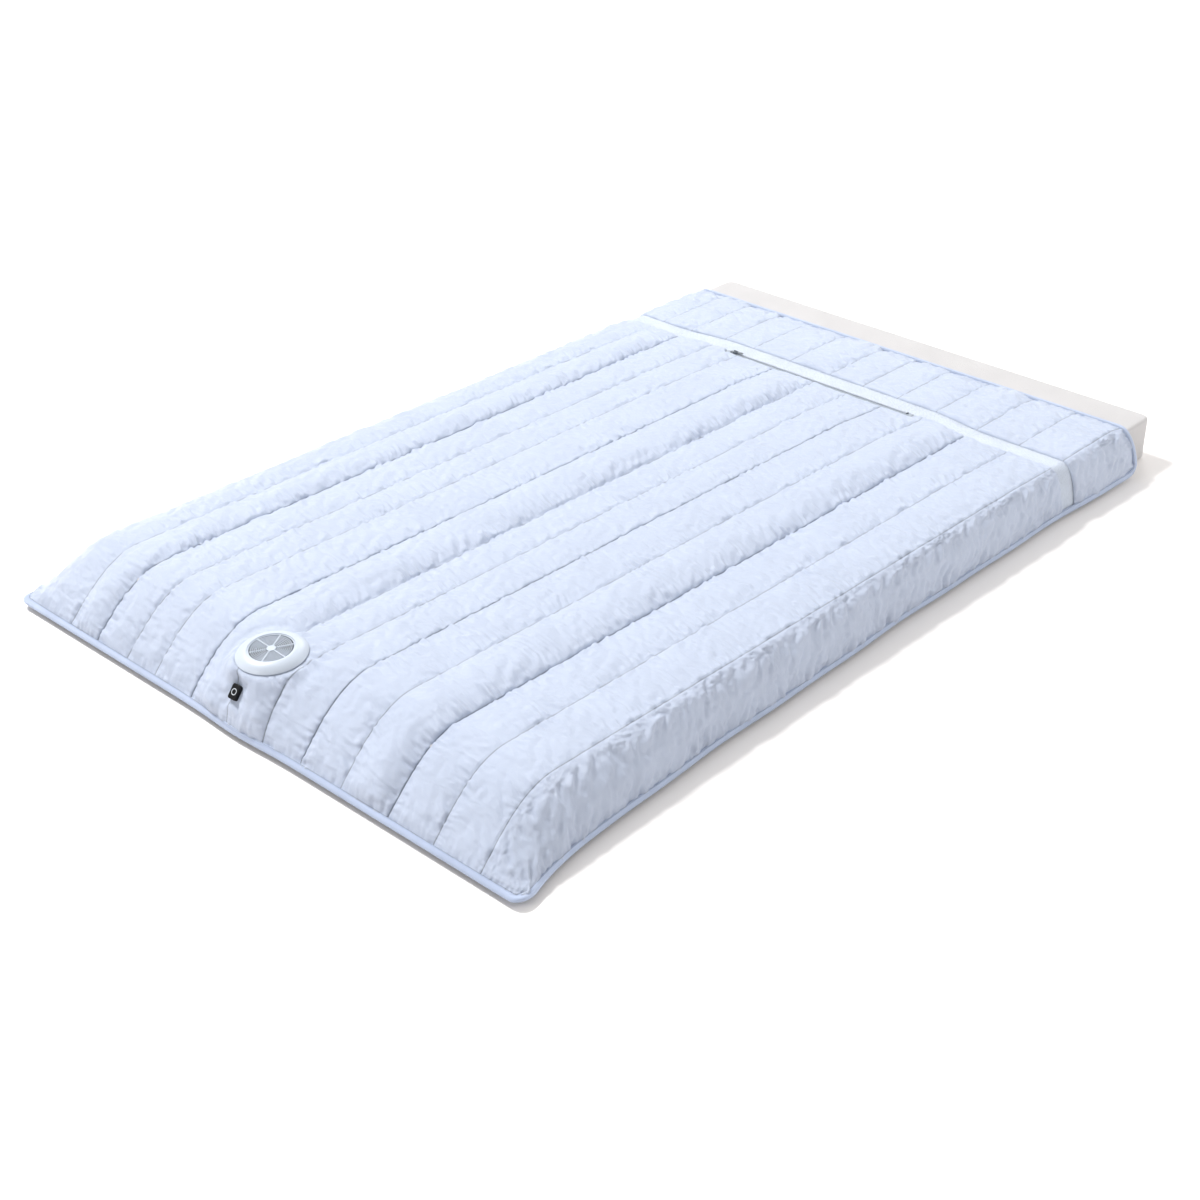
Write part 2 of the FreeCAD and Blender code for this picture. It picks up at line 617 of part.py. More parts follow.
def plate_screw_places():
    """Centres of the back plate's four screws."""
    return [(x, y) for x in (-PLATE_SCREW_X, PLATE_SCREW_X) for y in (-PLATE_SCREW_Y, PLATE_SCREW_Y)]


def control_screws():
    """Four screws that hold the back plate, from inside."""
    z = -CASE_SUNK - 0.2 - PLATE_T - GAP
    return Part.makeCompound([
        disc(PLATE_SCREW_R, z - 0.2, PCB_LOW - 0.2, x, y).fuse(disc(PLATE_HEAD_R, z - 1.0, z, x, y))
        for x, y in plate_screw_places()
    ])


def power_inlet():
    """The steel mouth of the inlet with its tongue."""
    shell = inlet_room(0.25, INLET_DEPTH).cut(inlet_room(-0.05, INLET_DEPTH - 0.6))
    tongue = block(-TONGUE_W / 2, TONGUE_W / 2, -CASE_L / 2 + 1.0, -CASE_L / 2 + INLET_DEPTH - 0.2,
                   INLET_Z - TONGUE_T / 2, INLET_Z + TONGUE_T / 2)
    return shell.fuse(tongue).removeSplitter()


def control_lead():
    """The lead through the air chamber, from the control's back plate up to the fan's base."""
    spot = Vector(CONTROL_X, along(CONTROL_Y), CONTROL_Z)
    tilt = math.radians(CONTROL_TILT)
    inward = Vector(0, math.sin(tilt), -math.cos(tilt))
    start = spot + inward * (CASE_SUNK - 0.8)
    base_hole = on_fan(Part.Vertex(Vector(*LEAD_HOLE, BASE_Z - 0.4))).Point
    end = Vector(CONTROL_X, base_hole.y, base_hole.z)
    leave = start + inward * LEAD_STRAIGHT
    radius = (end.y - leave.y) / (1 + math.cos(tilt))
    centre = Vector(CONTROL_X, end.y - radius, leave.z + radius * math.sin(tilt))
    climb = Vector(CONTROL_X, end.y, centre.z)
    swing = math.radians(-90 + (90 - CONTROL_TILT) / 2)
    middle = centre + Vector(0, math.cos(swing), math.sin(swing)) * radius
    return tube_on([
        Part.LineSegment(start, leave).toShape(),
        Part.Arc(leave, middle, climb).toShape(),
        Part.LineSegment(climb, end).toShape(),
    ], LEAD_R)


# ---------------------------------------------------------------- all nodes

def quilt_nodes():
    """The nodes of the two quilted panels, the band between them, the liner and the edge."""
    outer, skin_under = outer_form(QUILT_HEAD, 0.0), outer_form(QUILT_HEAD, SHELL_T)
    under = under_form(QUILT_HEAD + 5)
    seam_z = QUILT_TOP - SEAM_DEPTH
    nodes = {}
    for name, y0, y1 in (("main", -400, BAND_FOOT - SEAM_GAP), ("head", BAND_HEAD + SEAM_GAP, QUILT_HEAD)):
        shell = outer.cut(seam_blades(seam_z, SEAM_WIDTH, y0, y1))
        wadding = skin_under.cut(seam_blades(seam_z - SHELL_T, SEAM_WIDTH + 2 * SHELL_T, y0, y1))
        nodes[name + "_quilt_shell"] = quilt_layer(shell, wadding, y0, y1)
        nodes[name + "_quilt_wadding"] = quilt_layer(wadding, under, y0, y1)
    nodes["air_outlet_band"] = mesh_band(under)
    nodes["bottom_liner"] = bottom_liner()
    nodes["hem_piping"] = hem_piping()
    nodes["air_core_mesh"] = air_core()
    return nodes


def all_nodes():
    nodes = {"foam_slab": foam_slab()}
    nodes.update(quilt_nodes())
    for maker in (zip_tape, zip_chain, zip_end_stops, zip_slider, zip_pull):
        nodes[maker.__name__] = maker()
    for maker in (fan_bezel, fan_grille, fan_housing, fan_base, fan_clamp_ring, fan_screws, fan_collar,
                  impeller, rotor_cup, rotor_magnet, fan_shaft, motor_stator, motor_windings, motor_board,
                  bearing_tube, fan_bearings):
        nodes[maker.__name__] = on_fan(maker())
    for maker in (control_case, button_light_ring, power_button, button_switch, control_board,
                  control_back_plate, control_screws, power_inlet):
        nodes[maker.__name__] = on_drop(maker())
    nodes["control_lead"] = control_lead()
    return nodes


os.makedirs("parts", exist_ok=True)
for node, shape in all_nodes().items():
    shape.exportStep(os.path.join("parts", node + ".step"))
    print(f"{node:20s} solids {len(shape.Solids):3d} valid {shape.isValid()} cm3 {shape.Volume / 1000:.2f}")
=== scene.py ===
"""The looks of a fan-ventilated cooling quilt on a foam slab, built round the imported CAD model.

Metres, in the frame of the CAD. X runs across the bed and +Y from the foot to the head. Places along the bed
are counted from the slab's foot face. The quilt's outer surface is a grid over its flat cut, which is laid
over the slab, filled between its seams, and settled as cloth that is a little longer than its room.
"""

import bmesh
import bpy
import json
import math
import numpy as np
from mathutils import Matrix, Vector


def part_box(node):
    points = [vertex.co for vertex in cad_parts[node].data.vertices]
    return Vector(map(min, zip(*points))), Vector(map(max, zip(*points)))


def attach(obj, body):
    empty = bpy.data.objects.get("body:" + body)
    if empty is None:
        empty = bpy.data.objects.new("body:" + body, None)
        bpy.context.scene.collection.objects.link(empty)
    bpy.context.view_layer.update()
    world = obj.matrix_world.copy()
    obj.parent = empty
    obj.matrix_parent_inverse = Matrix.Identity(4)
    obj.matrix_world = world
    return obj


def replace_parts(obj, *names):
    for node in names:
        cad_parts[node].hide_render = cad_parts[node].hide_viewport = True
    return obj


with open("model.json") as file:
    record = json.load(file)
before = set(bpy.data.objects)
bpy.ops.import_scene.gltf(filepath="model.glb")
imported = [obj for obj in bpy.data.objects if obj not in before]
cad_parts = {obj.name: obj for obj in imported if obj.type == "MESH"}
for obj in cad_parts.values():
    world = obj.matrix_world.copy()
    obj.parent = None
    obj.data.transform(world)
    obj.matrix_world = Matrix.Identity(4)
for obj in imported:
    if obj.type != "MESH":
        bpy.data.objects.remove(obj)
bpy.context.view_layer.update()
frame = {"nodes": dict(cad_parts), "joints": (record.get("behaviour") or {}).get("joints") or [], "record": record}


def middle(node):
    """The middle of a CAD node's box."""
    low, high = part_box(node)
    return np.array((low + high) / 2)


def upright_frame(axis):
    """Axes along X, up a fitting's face and out of it."""
    return np.array([[1, 0, 0], np.cross(axis, [1, 0, 0]), axis])


SLAB_LOW, SLAB_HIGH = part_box("foam_slab")
FOOT = SLAB_LOW.y
ZIP_LOW, ZIP_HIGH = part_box("zip_tape")
BAND_FOOT, BAND_HEAD = (corner.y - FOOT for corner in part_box("air_outlet_band"))
QUILT_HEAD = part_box("head_quilt_shell")[1].y - FOOT
ZIP_X = middle("zip_tape")[0]
ZIP_HALF = ZIP_HIGH.x - ZIP_X

JOINTS = {joint["name"]: joint for joint in frame["joints"]}
SPIN, PRESS = JOINTS["impeller_spin"], JOINTS["button_press"]
FAN_AT, FAN_AXIS = np.array(SPIN["pos_m"]), np.array(SPIN["axis"])
FAN_FRAME = upright_frame(FAN_AXIS)
BEZEL_LOW, BEZEL_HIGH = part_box("fan_bezel")
BEZEL_R = (BEZEL_HIGH.x - BEZEL_LOW.x) / 2
FLANGE_GAP, FLANGE_SEAT, FLANGE_BLEND = 0.002, -0.0012, 0.030
FLANGE_LAP = 0.011
UNDER_FAN = -0.06
CONTROL_AT = middle("button_light_ring")
CONTROL_AXIS = -np.array(PRESS["axis"])
CONTROL_FRAME = upright_frame(CONTROL_AXIS)
CASE_R, CASE_SEAT, CASE_BLEND, CASE_HOLE = 0.017, -0.0055, 0.022, 0.010

# Seams: places across the bed, those in a deep valley, those where the mesh is parted, and how far they
# lean towards +X at the foot hem
SEAMS = [-0.520, -0.435, -0.342, -0.258, -0.150, -0.036, 0.057, 0.152, 0.255, 0.372, 0.480, 0.588]
DEEP = [1, 5, 9]
PARTED = [1, 4, 7, 9]
FOOT_LEAN = 0.016

# How far each channel stands out of its seams, from the left hem to the right one
FILL = [0.004, 0.011, 0.006, 0.004, 0.005, 0.014, 0.006, 0.004, 0.004, 0.014, 0.006, 0.004, 0.005]

# The draped cut, at the level of the seams
TOP_Z, HEM_Z = 0.1135, 0.0145
HEAD_SINK = 0.007
SIDE_START, FOOT_START = 0.585, 0.075
SIDE_CUT, FOOT_CUT = 0.150, 0.230
HEM = SIDE_START + SIDE_CUT
FOOT_HEM = FOOT_START - FOOT_CUT
FOOT_CORNER, HEAD_CORNER = 0.055, 0.030
SIDE_DOWN = [1, 0.965, 0.52, 0]
PLAIN_FOOT = [0, 0.070, 0.140, 0.187], [1, 1, 0.52, 0]
FAN_FOOT = [0, 0.115, 0.173, 0.193], [1, 1.03, 1.05, 0]
FAN_SPREAD = 0.085
SIDE_LENGTH_GUIDE, SIDE_SHOULDER, SIDE_BULGE = [0, 0.024, 0.060, 0.070], 0.024, 0.85
WAIST, WAIST_FLARE, WAIST_AT = 0.624, 0.036, 1.4
CORNER_FLARE, CORNER_REACH, CORNER_AT = 0.014, 0.09, -0.1
HEAD_FLARE, HEAD_FLARE_END = 0.010, 1.85
HEM_WAVES = [(0.0016, 11, 0), (0.0010, 23, 1)]

# Swells of the top between the deep seams, which fade before the air band, and the step down at the head hem
TOP_EDGES = -0.64, 0.62
SWELLS = [0.004, 0.0075, 0.0115, 0.005]
FADE, FADE_START, FADE_END = 0.95, 1.38, 1.56
SINK_START, SINK_END = 1.79, 1.84

# The air band bows towards the foot beside the zip, and the quilts' ends follow it
BOW_OVER_ZIP, BOW_BESIDE, BOW_START, BOW_END = 0.002, 0.018, 0.01, 0.18
ZIP_NOTCH, ZIP_GAP = 0.01, 0.001
END_BLEND = 0.12

# The cloth
STEP = 0.0058
SKIN = 0.0025
SLACK = 0.055
PUSH = 1.0
PUFF_CAP = 0.018
FRAMES = 12
EDGE_GAP = 0.0015
SEAM_SINK = 0.0018
EDGE_TAPER = 0.8
EDGE_SETTLE = 0.0008

# Noise: its cells, and for each use the size of its features across and along, and its seed
NOISE_CELLS = 509
UNEVEN_TOP, UNEVEN_FILL, UNEVEN_SLAB = (0.30, 0.45, 3.1), (0.09, 0.16, 5.5), (0.25, 0.25, 6.1)
FOLDS, FOLD_BEND = (0.050, 0.016, 7.7), (0.05, 0.10, 9.2)
CREASES, SMALL_CREASES = (0.034, 0.060, 6.6), (0.020, 0.034, 2.4)
PUCKERS, DROP_PUCKERS, PUCKER_BEND = (0.045, 0.0078, 3.7), (0.110, 0.0150, 3.9), (0.04, 0.06, 5.9)
PATCHES, FINE = (0.12, 0.10, 7.2), (0.012, 0.0075, 1.9)
GATHERS, HEM_PUCKERS = (0.011, 0.050, 4.4), (0.0062, 0.040, 4.4)
SEAM_WAVE, SEAM_WANDER = (0.4, 0.018, 1.3), (0.4, 0.070, 2.9)
BINDING_GATHERS, BAND_RIPPLE = (0.012, 1, 1.2), (0.020, 0.060, 4.4)
LINER_WRINKLES, TAPE_WAVE = (0.05, 0.20, 8.8), (0.03, 0.05, 2.2)

# Heights of the folds in the cloth: in a deep valley, elsewhere, and what a drop adds to it
FOLD_DEEP, FOLD_PLAIN, FOLD_DROP = 0.0050, 0.0034, 0.0030
PUCKER_DEEP, PUCKER_PLAIN, PUCKER_DROP = 0.0060, 0.0044, -0.0002
FINE_PLAIN, FINE_DROP = 0.0007, -0.0004
CREASE, GATHER = 0.0062, 0.0040
FAN_RAYS, CONTROL_RAYS = (30, 3.3, 0.0085), (15, 8.1, 0.0110)
RAY_REACH, RAY_START = 0.028, 0.010
# How far they reach from the seams
FOLD_REACH, FOLD_REACH_DROP = 0.022, 0.045
PUCKER_REACH_DEEP, PUCKER_REACH, PUCKER_REACH_DROP = 0.026, 0.022, 0.036

# Sewing, edge and layers
STITCH, THREAD_R = 0.0033, 0.00035
# A stitch's rings: where along it, how deep and how wide, in thread radii
STITCH_RINGS = (0.05, 0.3, 0.6), (0.5, -0.5, 1.0), (0.85, 0.3, 0.6)
EDGE_STEP = 0.005
BINDING_OUT, BINDING_UP, BINDING_LAP, BINDING_LOW = 0.0050, 0.0040, 0.0035, 0.0012
BINDING_STITCH_IN, BINDING_STITCH_UP = 0.0085, 0.0036
BAND_LAP, BAND_INSET, BAND_GAP, BAND_THICK = 0.12, 0.004, 0.0010, 0.0009
LINER_INSET, LINER_BELOW, LINER_GAP, LINER_THICK = 0.008, 0.0065, 0.0012, 0.0006
RIB_PITCH, RIB_HEIGHT = 0.010, 0.0006
TAPE_TUCK, TAPE_DIP, TAPE_THICK = 0.003, 0.0016, 0.0007
SLAB_FOOT_R, SLAB_HEAD_R, SLAB_EDGE = 0.060, 0.020, 0.008
COIL_PITCH, COIL_THREAD, COIL_OUT, COIL_HALF = 0.0013, 0.00032, 0.0009, 0.0012


# ---------------- numbers and grids

def smooth(x, low, high):
    """0 before low, 1 after high, and a soft step between them."""
    f = np.clip((x - low) / (high - low), 0.0, 1.0)
    return f * f * (3 - 2 * f)


def noise_field(x, y, size_x, size_y, seed):
    """Smooth gradient noise about 0, with features of the given sizes in metres."""
    slopes = np.random.default_rng(int(seed * 10)).uniform(0, 2 * math.pi, (NOISE_CELLS, NOISE_CELLS))
    u, v = np.asarray(x) / size_x, np.asarray(y) / size_y
    i, j = np.floor(u).astype(int), np.floor(v).astype(int)
    f, g = u - i, v - j
    ease_f, ease_g = f**3 * (10 - 15 * f + 6 * f * f), g**3 * (10 - 15 * g + 6 * g * g)
    total = 0.0
    for a in (0, 1):
        for b in (0, 1):
            slope = slopes[(i + a) % NOISE_CELLS, (j + b) % NOISE_CELLS]
            ramp = np.cos(slope) * (f - a) + np.sin(slope) * (g - b)
            total = total + ramp * np.abs(1 - a - ease_f) * np.abs(1 - b - ease_g)
    return total


def bezier(points, t):
    """A cubic Bezier's value, from four control values."""
    a, b, c, d = points
    u = 1 - t
    return a * u**3 + 3 * b * u * u * t + 3 * c * u * t * t + d * t**3


def even_steps(out, down, share):
    """Bezier parameters at even shares of the length of a falling curve."""
    t = np.linspace(0, 1, 200)
    x, z = bezier(out, t), bezier(down, t) * (TOP_Z - HEM_Z)
    length = np.concatenate([[0], np.cumsum(np.hypot(np.diff(x), np.diff(z)))])
    return np.interp(share, length / length[-1], t)


def finer(points, axis):
    """Twice as many points along one axis of a grid, on a smooth curve."""
    p = np.moveaxis(points, axis, 0)
    padded = np.concatenate([2 * p[:1] - p[1:2], p, 2 * p[-1:] - p[-2:-1]])
    between = (9 * (padded[1:-2] + padded[2:-1]) - padded[:-3] - padded[3:]) / 16
    result = np.empty((2 * len(p) - 1,) + p.shape[1:])
    result[0::2], result[1::2] = p, between
    return np.moveaxis(result, 0, axis)


def twice(points):
    """A grid at twice its resolution both ways."""
    return finer(finer(points, 0), 1)


def unit(vectors):
    return vectors / np.linalg.norm(vectors, axis=-1, keepdims=True)


def grid_normals(points):
    """The unit normals of a grid of points, outwards."""
    return unit(np.cross(np.gradient(points, axis=1), np.gradient(points, axis=0)))


# ---------------- the drape

def hem_half(y):
    """Half the quilt's width at its side hem, at a place along the bed."""
    waist = WAIST + WAIST_FLARE * (1 - np.clip(y / WAIST_AT, CORNER_AT, 1.0)) ** 2
    flare = CORNER_FLARE * np.exp(-np.clip(y - CORNER_AT, 0, 2) / CORNER_REACH)
    wave = sum(height * np.sin(y * rate + shift) for height, rate, shift in HEM_WAVES)
    return waist + flare + wave + HEAD_FLARE * smooth(y, WAIST_AT, HEAD_FLARE_END)


def top_level(x, y):
    """Height of the seams on top, with swells between the deep ones."""
    edges = [TOP_EDGES[0]] + [SEAMS[i] for i in DEEP] + [TOP_EDGES[1]]
    z = np.full(np.shape(x), TOP_Z)
    for low, high, swell in zip(edges, edges[1:], SWELLS):
        f = np.clip((x - low) / (high - low), 0, 1)
        z = z + swell * np.sin(np.pi * f) ** 0.7 * (1 - FADE * smooth(y, FADE_START, FADE_END))
    return z + 0.0012 * noise_field(x, y, *UNEVEN_TOP) - HEAD_SINK * smooth(y, SINK_START, SINK_END)


def round_corner(side, end, end_cut, radius):
    """Rounds a corner of the cut, from the distances into its side drop and its end."""
    a = np.clip((side - SIDE_CUT + radius) / radius, 0, 1)
    b = np.clip((end - end_cut + radius) / radius, 0, 1)
    inside = (a > 0) & (b > 0)
    side_in = SIDE_CUT - radius + radius * a * np.sqrt(1 - b * b / 2)
    end_in = end_cut - radius + radius * b * np.sqrt(1 - a * a / 2)
    return np.where(inside, side_in, side), np.where(inside, end_in, end)


def fall_over_foot(profile, foot):
    """How far out and how high the drop at the foot is, at a distance down the cut."""
    out, down = profile
    t = even_steps(out, down, foot / FOOT_CUT)
    return bezier(out, t), bezier(down, t)


def drape(across, along):
    """Points of the flat cut laid over the slab, at the seams' level."""
    sign = np.sign(across)
    side = np.maximum(np.abs(across) - SIDE_START, 0)
    foot = np.maximum(FOOT_START - along, 0)
    side, foot = round_corner(side, foot, FOOT_CUT, FOOT_CORNER)
    side, along = round_corner(side, along, QUILT_HEAD, HEAD_CORNER)
    reach = hem_half(along) - SLAB_HIGH.x
    lead = SLAB_HIGH.x - SIDE_START
    t_side = even_steps(SIDE_LENGTH_GUIDE, SIDE_DOWN, side / SIDE_CUT)
    side_out = bezier([0, SIDE_SHOULDER, lead + SIDE_BULGE * reach, lead + reach], t_side)
    reach_out, level = fall_over_foot(PLAIN_FOOT, foot)
    fan_out, fan_level = fall_over_foot(FAN_FOOT, foot)
    near_fan = np.exp(-(((across - FAN_AT[0]) / FAN_SPREAD) ** 2))
    reach_out = reach_out + near_fan * (fan_out - reach_out)
    level = level + near_fan * (fan_level - level)
    x = sign * (np.minimum(np.abs(across), SIDE_START) + side_out)
    x = x + FOOT_LEAN * smooth(foot, 0, FOOT_CUT)
    y = np.maximum(along, FOOT_START) - reach_out
    z = HEM_Z + (top_level(x, y) - HEM_Z) * bezier(SIDE_DOWN, t_side) * level
    return np.stack([x, FOOT + y, z], axis=-1)


def in_fan_frame(points):
    """Points seen from the fan: its flange lies in the plane z 0."""
    return (points - FAN_AT) @ FAN_FRAME.T


def from_fan(points):
    """How far points are from the fan's axis."""
    q = in_fan_frame(points)
    return np.hypot(q[..., 0], q[..., 1])


def from_control(points):
    """How far points are from the control's axis."""
    d = points - CONTROL_AT
    return np.linalg.norm(d - (d @ CONTROL_AXIS)[..., None] * CONTROL_AXIS, axis=-1)


def held_down(points):
    """Where the cloth is held by the fan's flange or by the control."""
    return (from_fan(points) < BEZEL_R + FLANGE_GAP) | (from_control(points) < CASE_R)


def seat_fittings(points):
    """Brings the cloth to the fan's flange and to the control's back."""
    q = in_fan_frame(points)
    held = 1 - smooth(from_fan(points), BEZEL_R + FLANGE_GAP, BEZEL_R + FLANGE_BLEND)
    q[..., 2] += held * (FLANGE_SEAT - q[..., 2]) * (q[..., 2] > UNDER_FAN)
    points = q @ FAN_FRAME + FAN_AT
    height = (points - CONTROL_AT) @ CONTROL_AXIS
    held = 1 - smooth(from_control(points), CASE_R, CASE_R + CASE_BLEND)
    return points + (held * (CASE_SEAT - height))[..., None] * CONTROL_AXIS


def band_bow(x):
    """How far the air band lies towards the head, over the zip and beside it."""
    over_zip = 1 - smooth(np.abs(x - ZIP_X), ZIP_HALF + BOW_START, ZIP_HALF + BOW_END)
    return BOW_OVER_ZIP * over_zip - BOW_BESIDE * (1 - over_zip)


def main_end(x):
    """Where the main quilt ends: at the air band, or at the zip's tape."""
    at_zip = 1 - smooth(np.abs(x - ZIP_X), ZIP_HALF, ZIP_HALF + ZIP_NOTCH)
    return (BAND_FOOT + band_bow(x) - EDGE_GAP) * (1 - at_zip) + (ZIP_LOW.y - FOOT - ZIP_GAP) * at_zip


def cut_columns():
    """Places across the cut, and which of them lie on seams."""
    stops = [-HEM] + SEAMS + [HEM]
    columns, seam_at = [stops[0]], []
    for low, high in zip(stops, stops[1:]):
        count = max(2, round((high - low) / STEP))
        columns += list(np.linspace(low, high, count + 1)[1:])
        seam_at.append(len(columns) - 1)
    return np.array(columns), seam_at[:-1]


def cut_grid(low, high):
    """The flat cut between two places along the bed, and its seams' columns."""
    columns, seam_at = cut_columns()
    rows = np.linspace(low, high, max(3, round((high - low) / STEP)) + 1)
    across, along = np.meshgrid(columns, rows)
    return across, along, seam_at


def main_cut():
    """The main quilt's cut."""
    across, along, seam_at = cut_grid(FOOT_HEM, BAND_FOOT)
    along = along + (main_end(across) - BAND_FOOT) * smooth(along, BAND_FOOT - END_BLEND, BAND_FOOT)
    return across, along, seam_at


def head_cut():
    """The head quilt's cut."""
    across, along, seam_at = cut_grid(BAND_HEAD, QUILT_HEAD)
    along = along + (band_bow(across) + EDGE_GAP) * (1 - smooth(along, BAND_HEAD, BAND_HEAD + END_BLEND))
    return across, along, seam_at


# ---------------- the filling and the cloth

def channels(across):
    """Each point's channel, its share of the channel's width, and the nearest seam's distance."""
    stops = np.array([-HEM] + SEAMS + [HEM])
    i = np.clip(np.searchsorted(stops, across, side="right") - 1, 0, len(stops) - 2)
    width = stops[i + 1] - stops[i]
    f = np.clip((across - stops[i]) / width, 0, 1)
    return i, f, np.minimum(f, 1 - f) * width


def on_drop(across):
    """1 on the side drops, 0 on top, and a soft step past the outer seams."""
    return smooth(np.abs(across), SEAMS[-1], SEAMS[-1] + 0.03)


def radiating(points, axis_frame, centre, radius, rays):
    """Folds that run out from a fitting, with their count round it, seed and height."""
    count, seed, height = rays
    q = (points - centre) @ axis_frame.T
    angle, r = np.arctan2(q[..., 1], q[..., 0]), np.hypot(q[..., 0], q[..., 1])
    turn = count / (2 * math.pi)
    folds = noise_field(np.cos(angle) * turn, np.sin(angle) * turn, 1, 1, seed)
    fading = np.exp(-np.clip(r - radius, 0, 1) / RAY_REACH)
    return height * (folds * fading * smooth(r, radius, radius + RAY_START))


def gathered(lift, hems, noise, reach, start):
    """Adds gathers beside hems, each a distance from it and a place along it."""
    for distance, run in hems:
        gathers = GATHER * noise_field(run, distance, *noise)
        lift = lift + gathers * np.exp(-distance / reach) * (1 - np.exp(-distance / start))
    return lift


def filled(points, across, along, fullness):
    """The cloth pushed out by the filling, with folds beside the seams and hems."""
    i, f, beside = channels(across)
    dome = np.where(np.isin(i, DEEP), np.sin(np.pi * f**1.2) ** 0.85, np.sin(np.pi * f) ** 0.65)
    swell = 1 + 0.35 * noise_field(across, along, *UNEVEN_FILL)
    away = smooth(from_fan(points), BEZEL_R, BEZEL_R + 0.05)
    away = away * smooth(from_control(points), CASE_R, CASE_R + 0.05)
    side, foot, head = HEM - np.abs(across), along - FOOT_HEM, main_end(across) - along
    hems = smooth(foot, 0, 0.03) * smooth(side, 0, 0.02)
    flattened = 1 - 0.7 * (1 - smooth(head, 0, 0.05)) * (head > -0.02)
    height = np.take(FILL, i) * fullness * dome * swell * flattened
    deep = np.isin(i, DEEP) & (f > 0.5) | np.isin(i, np.add(DEEP, 1)) & (f < 0.5)
    slant = along + 0.30 * across + 0.03 * noise_field(across, along, *FOLD_BEND)
    folds = noise_field(across, slant, *FOLDS)
    drop = on_drop(across)
    reach = FOLD_REACH + FOLD_REACH_DROP * drop
    folds = 1.7 * folds * np.exp(-beside / reach) * (1 - np.exp(-beside / 0.003))
    turned, slanted = across + 0.5 * along, along - 0.5 * across
    creases = np.abs(noise_field(turned, slanted, *CREASES)) - 0.2
    creases = creases + 0.35 * (np.abs(noise_field(slanted, turned, *SMALL_CREASES)) - 0.2)
    amount = np.where(deep, FOLD_DEEP, FOLD_PLAIN + FOLD_DROP * drop)
    lift = (height + folds * amount + CREASE * creases) * away * hems
    lift = gathered(lift, ((foot, across), (side, along)), GATHERS, 0.030, 0.004)
    return points + grid_normals(points) * lift[..., None]


def pucker(points, across, along):
    """The fine folds that the stitching draws into the cloth."""
    i, f, beside = channels(across)
    valley = np.isin(i, DEEP) & (f > 0.5)
    drop = on_drop(across)
    amount = np.where(valley, PUCKER_DEEP, PUCKER_PLAIN + PUCKER_DROP * drop)
    reach = np.where(valley, PUCKER_REACH_DEEP, PUCKER_REACH + PUCKER_REACH_DROP * drop)
    skewed = along + (0.15 + 0.45 * drop) * across + 0.012 * noise_field(across, along, *PUCKER_BEND)
    folds = noise_field(across, skewed, *PUCKERS) * (1 - drop)
    folds = folds + noise_field(across, skewed, *DROP_PUCKERS) * drop
    patches = np.clip(0.75 + 1.6 * noise_field(across, along, *PATCHES), 0.15, 1.5)
    lift = 1.6 * amount * patches * folds * np.exp(-beside / reach) * (1 - np.exp(-beside / 0.0025))
    fine = noise_field(across, skewed, *FINE)
    lift = lift + (FINE_PLAIN + FINE_DROP * drop) * fine * patches * (1 - np.exp(-beside / 0.004))
    side, foot, head = HEM - np.abs(across), along - FOOT_HEM, np.abs(QUILT_HEAD - along)
    hems = (foot, across), (side, along), (head, across)
    lift = gathered(lift, hems, HEM_PUCKERS, 0.022, 0.003)
    lift = lift + radiating(points, FAN_FRAME, FAN_AT, BEZEL_R, FAN_RAYS)
    lift = lift + radiating(points, CONTROL_FRAME, CONTROL_AT, CASE_R, CONTROL_RAYS)
    return points + grid_normals(points) * (lift * ~held_down(points))[..., None]


def puckered_seams(points, across, along, sewn):
    """Small ups, downs and side steps of the sewn points."""
    lift = 0.0008 * noise_field(across, along, *SEAM_WAVE)
    step = 0.0012 * noise_field(across, along, *SEAM_WANDER)
    points = points + grid_normals(points) * (lift * sewn)[..., None]
    points[..., 0] += step * sewn
    return points


def simulate(points, pinned):
    """Lets cloth longer than its room settle between pinned points, under the filling's push."""
    rows, columns = points.shape[:2]
    obj = new_object("cloth_work", points.reshape(-1, 3), grid_faces(rows, columns))
    group = obj.vertex_groups.new(name="sewn")
    group.add([int(i) for i in np.flatnonzero(pinned.ravel())], 1.0, "REPLACE")
    obj.shape_key_add(name="placed")
    longer = obj.shape_key_add(name="longer")
    cut = points.reshape(-1, 3) * [1, 1 + SLACK, 1]
    longer.data.foreach_set("co", cut.ravel())
    cloth = obj.modifiers.new("cloth", "CLOTH")
    settings = cloth.settings
    settings.rest_shape_key = longer
    settings.quality = 4
    settings.mass = 0.1
    settings.tension_stiffness = settings.compression_stiffness = 14
    settings.shear_stiffness = 4
    settings.bending_stiffness = 0.02
    settings.tension_damping = settings.compression_damping = settings.shear_damping = 5
    settings.bending_damping = 0.2
    settings.air_damping = 4
    settings.vertex_group_mass = "sewn"
    settings.use_pressure = True
    settings.uniform_pressure_force = PUSH
    settings.effector_weights.gravity = 0
    cloth.collision_settings.use_collision = False
    cloth.point_cache.frame_start, cloth.point_cache.frame_end = 1, FRAMES
    scene = bpy.context.scene
    scene.frame_start, scene.frame_end = 1, FRAMES
    for f in range(1, FRAMES + 1):
        scene.frame_set(f)
    settled = obj.evaluated_get(bpy.context.evaluated_depsgraph_get())
    co = np.zeros(rows * columns * 3)
    settled.data.vertices.foreach_get("co", co)
    bpy.data.objects.remove(obj)
    scene.frame_set(1)
    return co.reshape(rows, columns, 3)


